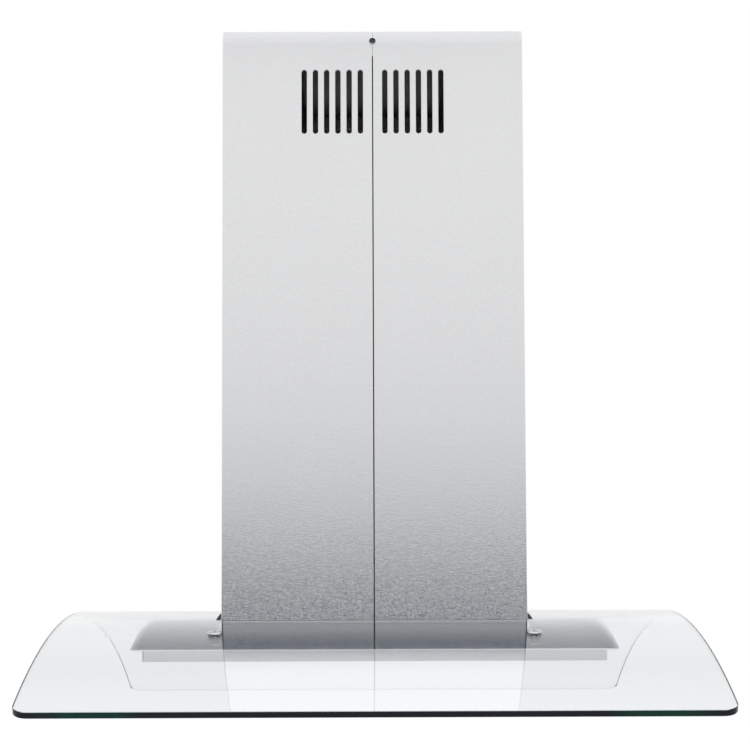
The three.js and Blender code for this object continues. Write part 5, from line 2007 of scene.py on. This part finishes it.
def studioFloor():
    shape = bmesh.new()
    height = glassLow.z - studio["floorDrop"]
    bmesh.ops.create_circle(shape, cap_ends=True, radius=studio["floorRadius"], segments=96,
                            matrix=Matrix.Translation((0, 0, height)))
    floor = bpy.data.objects.new("studio_floor", fromShape(shape))
    bpy.context.scene.collection.objects.link(floor)
    material, tree, shader = newMaterial("studio_floor")
    shader.inputs["Base Color"].default_value = studio["floorColour"]
    shader.inputs["Roughness"].default_value = 0.9
    rays = addNode(tree, "LightPath").outputs
    mirroredRay = maths(tree, "MAXIMUM", rays["Is Glossy Ray"], rays["Is Transmission Ray"])
    white = addNode(tree, "Emission", Color=(1, 1, 1, 1), Strength=studio["floorMirrored"])
    mixed = addNode(tree, "MixShader", _0=mirroredRay, _1=shader.outputs[0], _2=white.outputs[0])
    # From below the floor is seen through, so that the underside of the hood can be looked at.
    under = addNode(tree, "NewGeometry").outputs["Backfacing"]
    clear = addNode(tree, "BsdfTransparent")
    oneSided = addNode(tree, "MixShader", _0=under, _1=mixed.outputs[0], _2=clear.outputs[0])
    tree.links.new(oneSided.outputs[0], tree.nodes["Material Output"].inputs[0])
    floor.data.materials.append(material)


def softLamp(name, place, size, watts):
    light = bpy.data.lights.new(name, "AREA")
    light.shape = "DISK"
    light.size = size
    light.energy = watts
    holder = bpy.data.objects.new(name, light)
    holder.location = place
    aim = Vector(studio["lampTarget"]) - Vector(place)
    holder.rotation_euler = aim.to_track_quat("-Z", "Y").to_euler()
    holder.visible_glossy = False
    holder.visible_transmission = False
    bpy.context.scene.collection.objects.link(holder)


def skyRamp(tree, height, stops):
    # Brightness by height above the horizon. The ramp's own scale runs from straight down to straight up.
    ramp = addNode(tree, "ValToRGB", Fac=height)
    ramp.color_ramp.interpolation = "LINEAR"
    points = ramp.color_ramp.elements
    while len(points) > 1:
        points.remove(points[-1])
    for index, (degrees, level) in enumerate(stops):
        place = 0.5 + math.sin(math.radians(degrees)) / 2
        point = points[0] if index == 0 else points.new(place)
        point.position = place
        point.color = (level, level * 1.003, level * 1.01, 1)
    return ramp.outputs[0]


def studioWorld():
    world = bpy.data.worlds.new("studio")
    bpy.context.scene.world = world
    world.use_nodes = True
    tree = world.node_tree
    tree.nodes.clear()
    way = addNode(tree, "SeparateXYZ", Vector=addNode(tree, "TexCoord").outputs["Generated"])
    height = maths(tree, "MULTIPLY_ADD", way.outputs[2], 0.5, 0.5)
    cameraSide = addNode(tree, "MapRange", _0=way.outputs[0], _1=studio["sideBlend"][0],
                         _2=studio["sideBlend"][1]).outputs[0]
    rays = addNode(tree, "LightPath").outputs
    twice = maths(tree, "GREATER_THAN", rays["Glossy Depth"], 1.5)
    across = maths(tree, "ABSOLUTE", way.outputs[1])
    aside = addNode(tree, "MapRange", _0=across, _1=studio["asideBlend"][0],
                    _2=studio["asideBlend"][1]).outputs[0]
    again = blendOf(tree, aside, skyRamp(tree, height, studio["nearSideAgain"]), studio["darkAside"])
    near = blendOf(tree, twice, skyRamp(tree, height, studio["nearSide"]), again)
    underGlass = maths(tree, "GREATER_THAN", rays["Transmission Depth"], studio["glassCrossings"])
    far = blendOf(tree, underGlass, skyRamp(tree, height, studio["farSide"]),
                  skyRamp(tree, height, studio["farSideUnderGlass"]))
    mirrored = blendOf(tree, cameraSide, far, near)
    bounced = maths(tree, "MINIMUM", rays["Glossy Depth"], 1.0)
    straightThrough = maths(tree, "MULTIPLY", rays["Is Transmission Ray"],
                            maths(tree, "SUBTRACT", 1.0, bounced))
    seen = maths(tree, "MAXIMUM", rays["Is Camera Ray"], straightThrough)
    shiny = maths(tree, "MULTIPLY", bounced, maths(tree, "SUBTRACT", 1.0, rays["Is Diffuse Ray"]))
    soft = addNode(tree, "Background", Color=(0.98, 0.99, 1, 1), Strength=studio["diffuseSky"])
    tintedSky = blendOf(tree, mirrored, studio["darkTint"], (1, 1, 1, 1))
    gloss = addNode(tree, "Background", Color=tintedSky, Strength=1.0)
    white = addNode(tree, "Background", Color=(1, 1, 1, 1), Strength=1.0)
    first = addNode(tree, "MixShader", _0=shiny, _1=soft.outputs[0], _2=gloss.outputs[0])
    last = addNode(tree, "MixShader", _0=seen, _1=first.outputs[0], _2=white.outputs[0])
    out = addNode(tree, "OutputWorld")
    tree.links.new(last.outputs[0], out.inputs[0])


def makeCamera():
    camera = bpy.data.cameras.new("photo_view")
    camera.sensor_width = 36
    camera.lens = view["lens"]
    camera.shift_y = view["shift"]
    holder = bpy.data.objects.new("photo_view", camera)
    ahead = Matrix.Rotation(math.radians(90 + view["turn"]), 4, "Z")
    tilt = Matrix.Rotation(math.radians(90 + view["pitch"]), 4, "X")
    roll = Matrix.Rotation(math.radians(view["roll"]), 4, "Z")
    holder.matrix_world = Matrix.Translation(view["place"]) @ ahead @ tilt @ roll
    bpy.context.scene.collection.objects.link(holder)
    bpy.context.scene.camera = holder


studioFloor()
for lampName in ("keyLamp", "fillLamp", "backLamp"):
    lampSetting = studio[lampName]
    softLamp(lampName, lampSetting["place"], lampSetting["size"], lampSetting["watts"])
studioWorld()
makeCamera()
bpy.context.scene.view_settings.view_transform = "Standard"
print("studio ready")
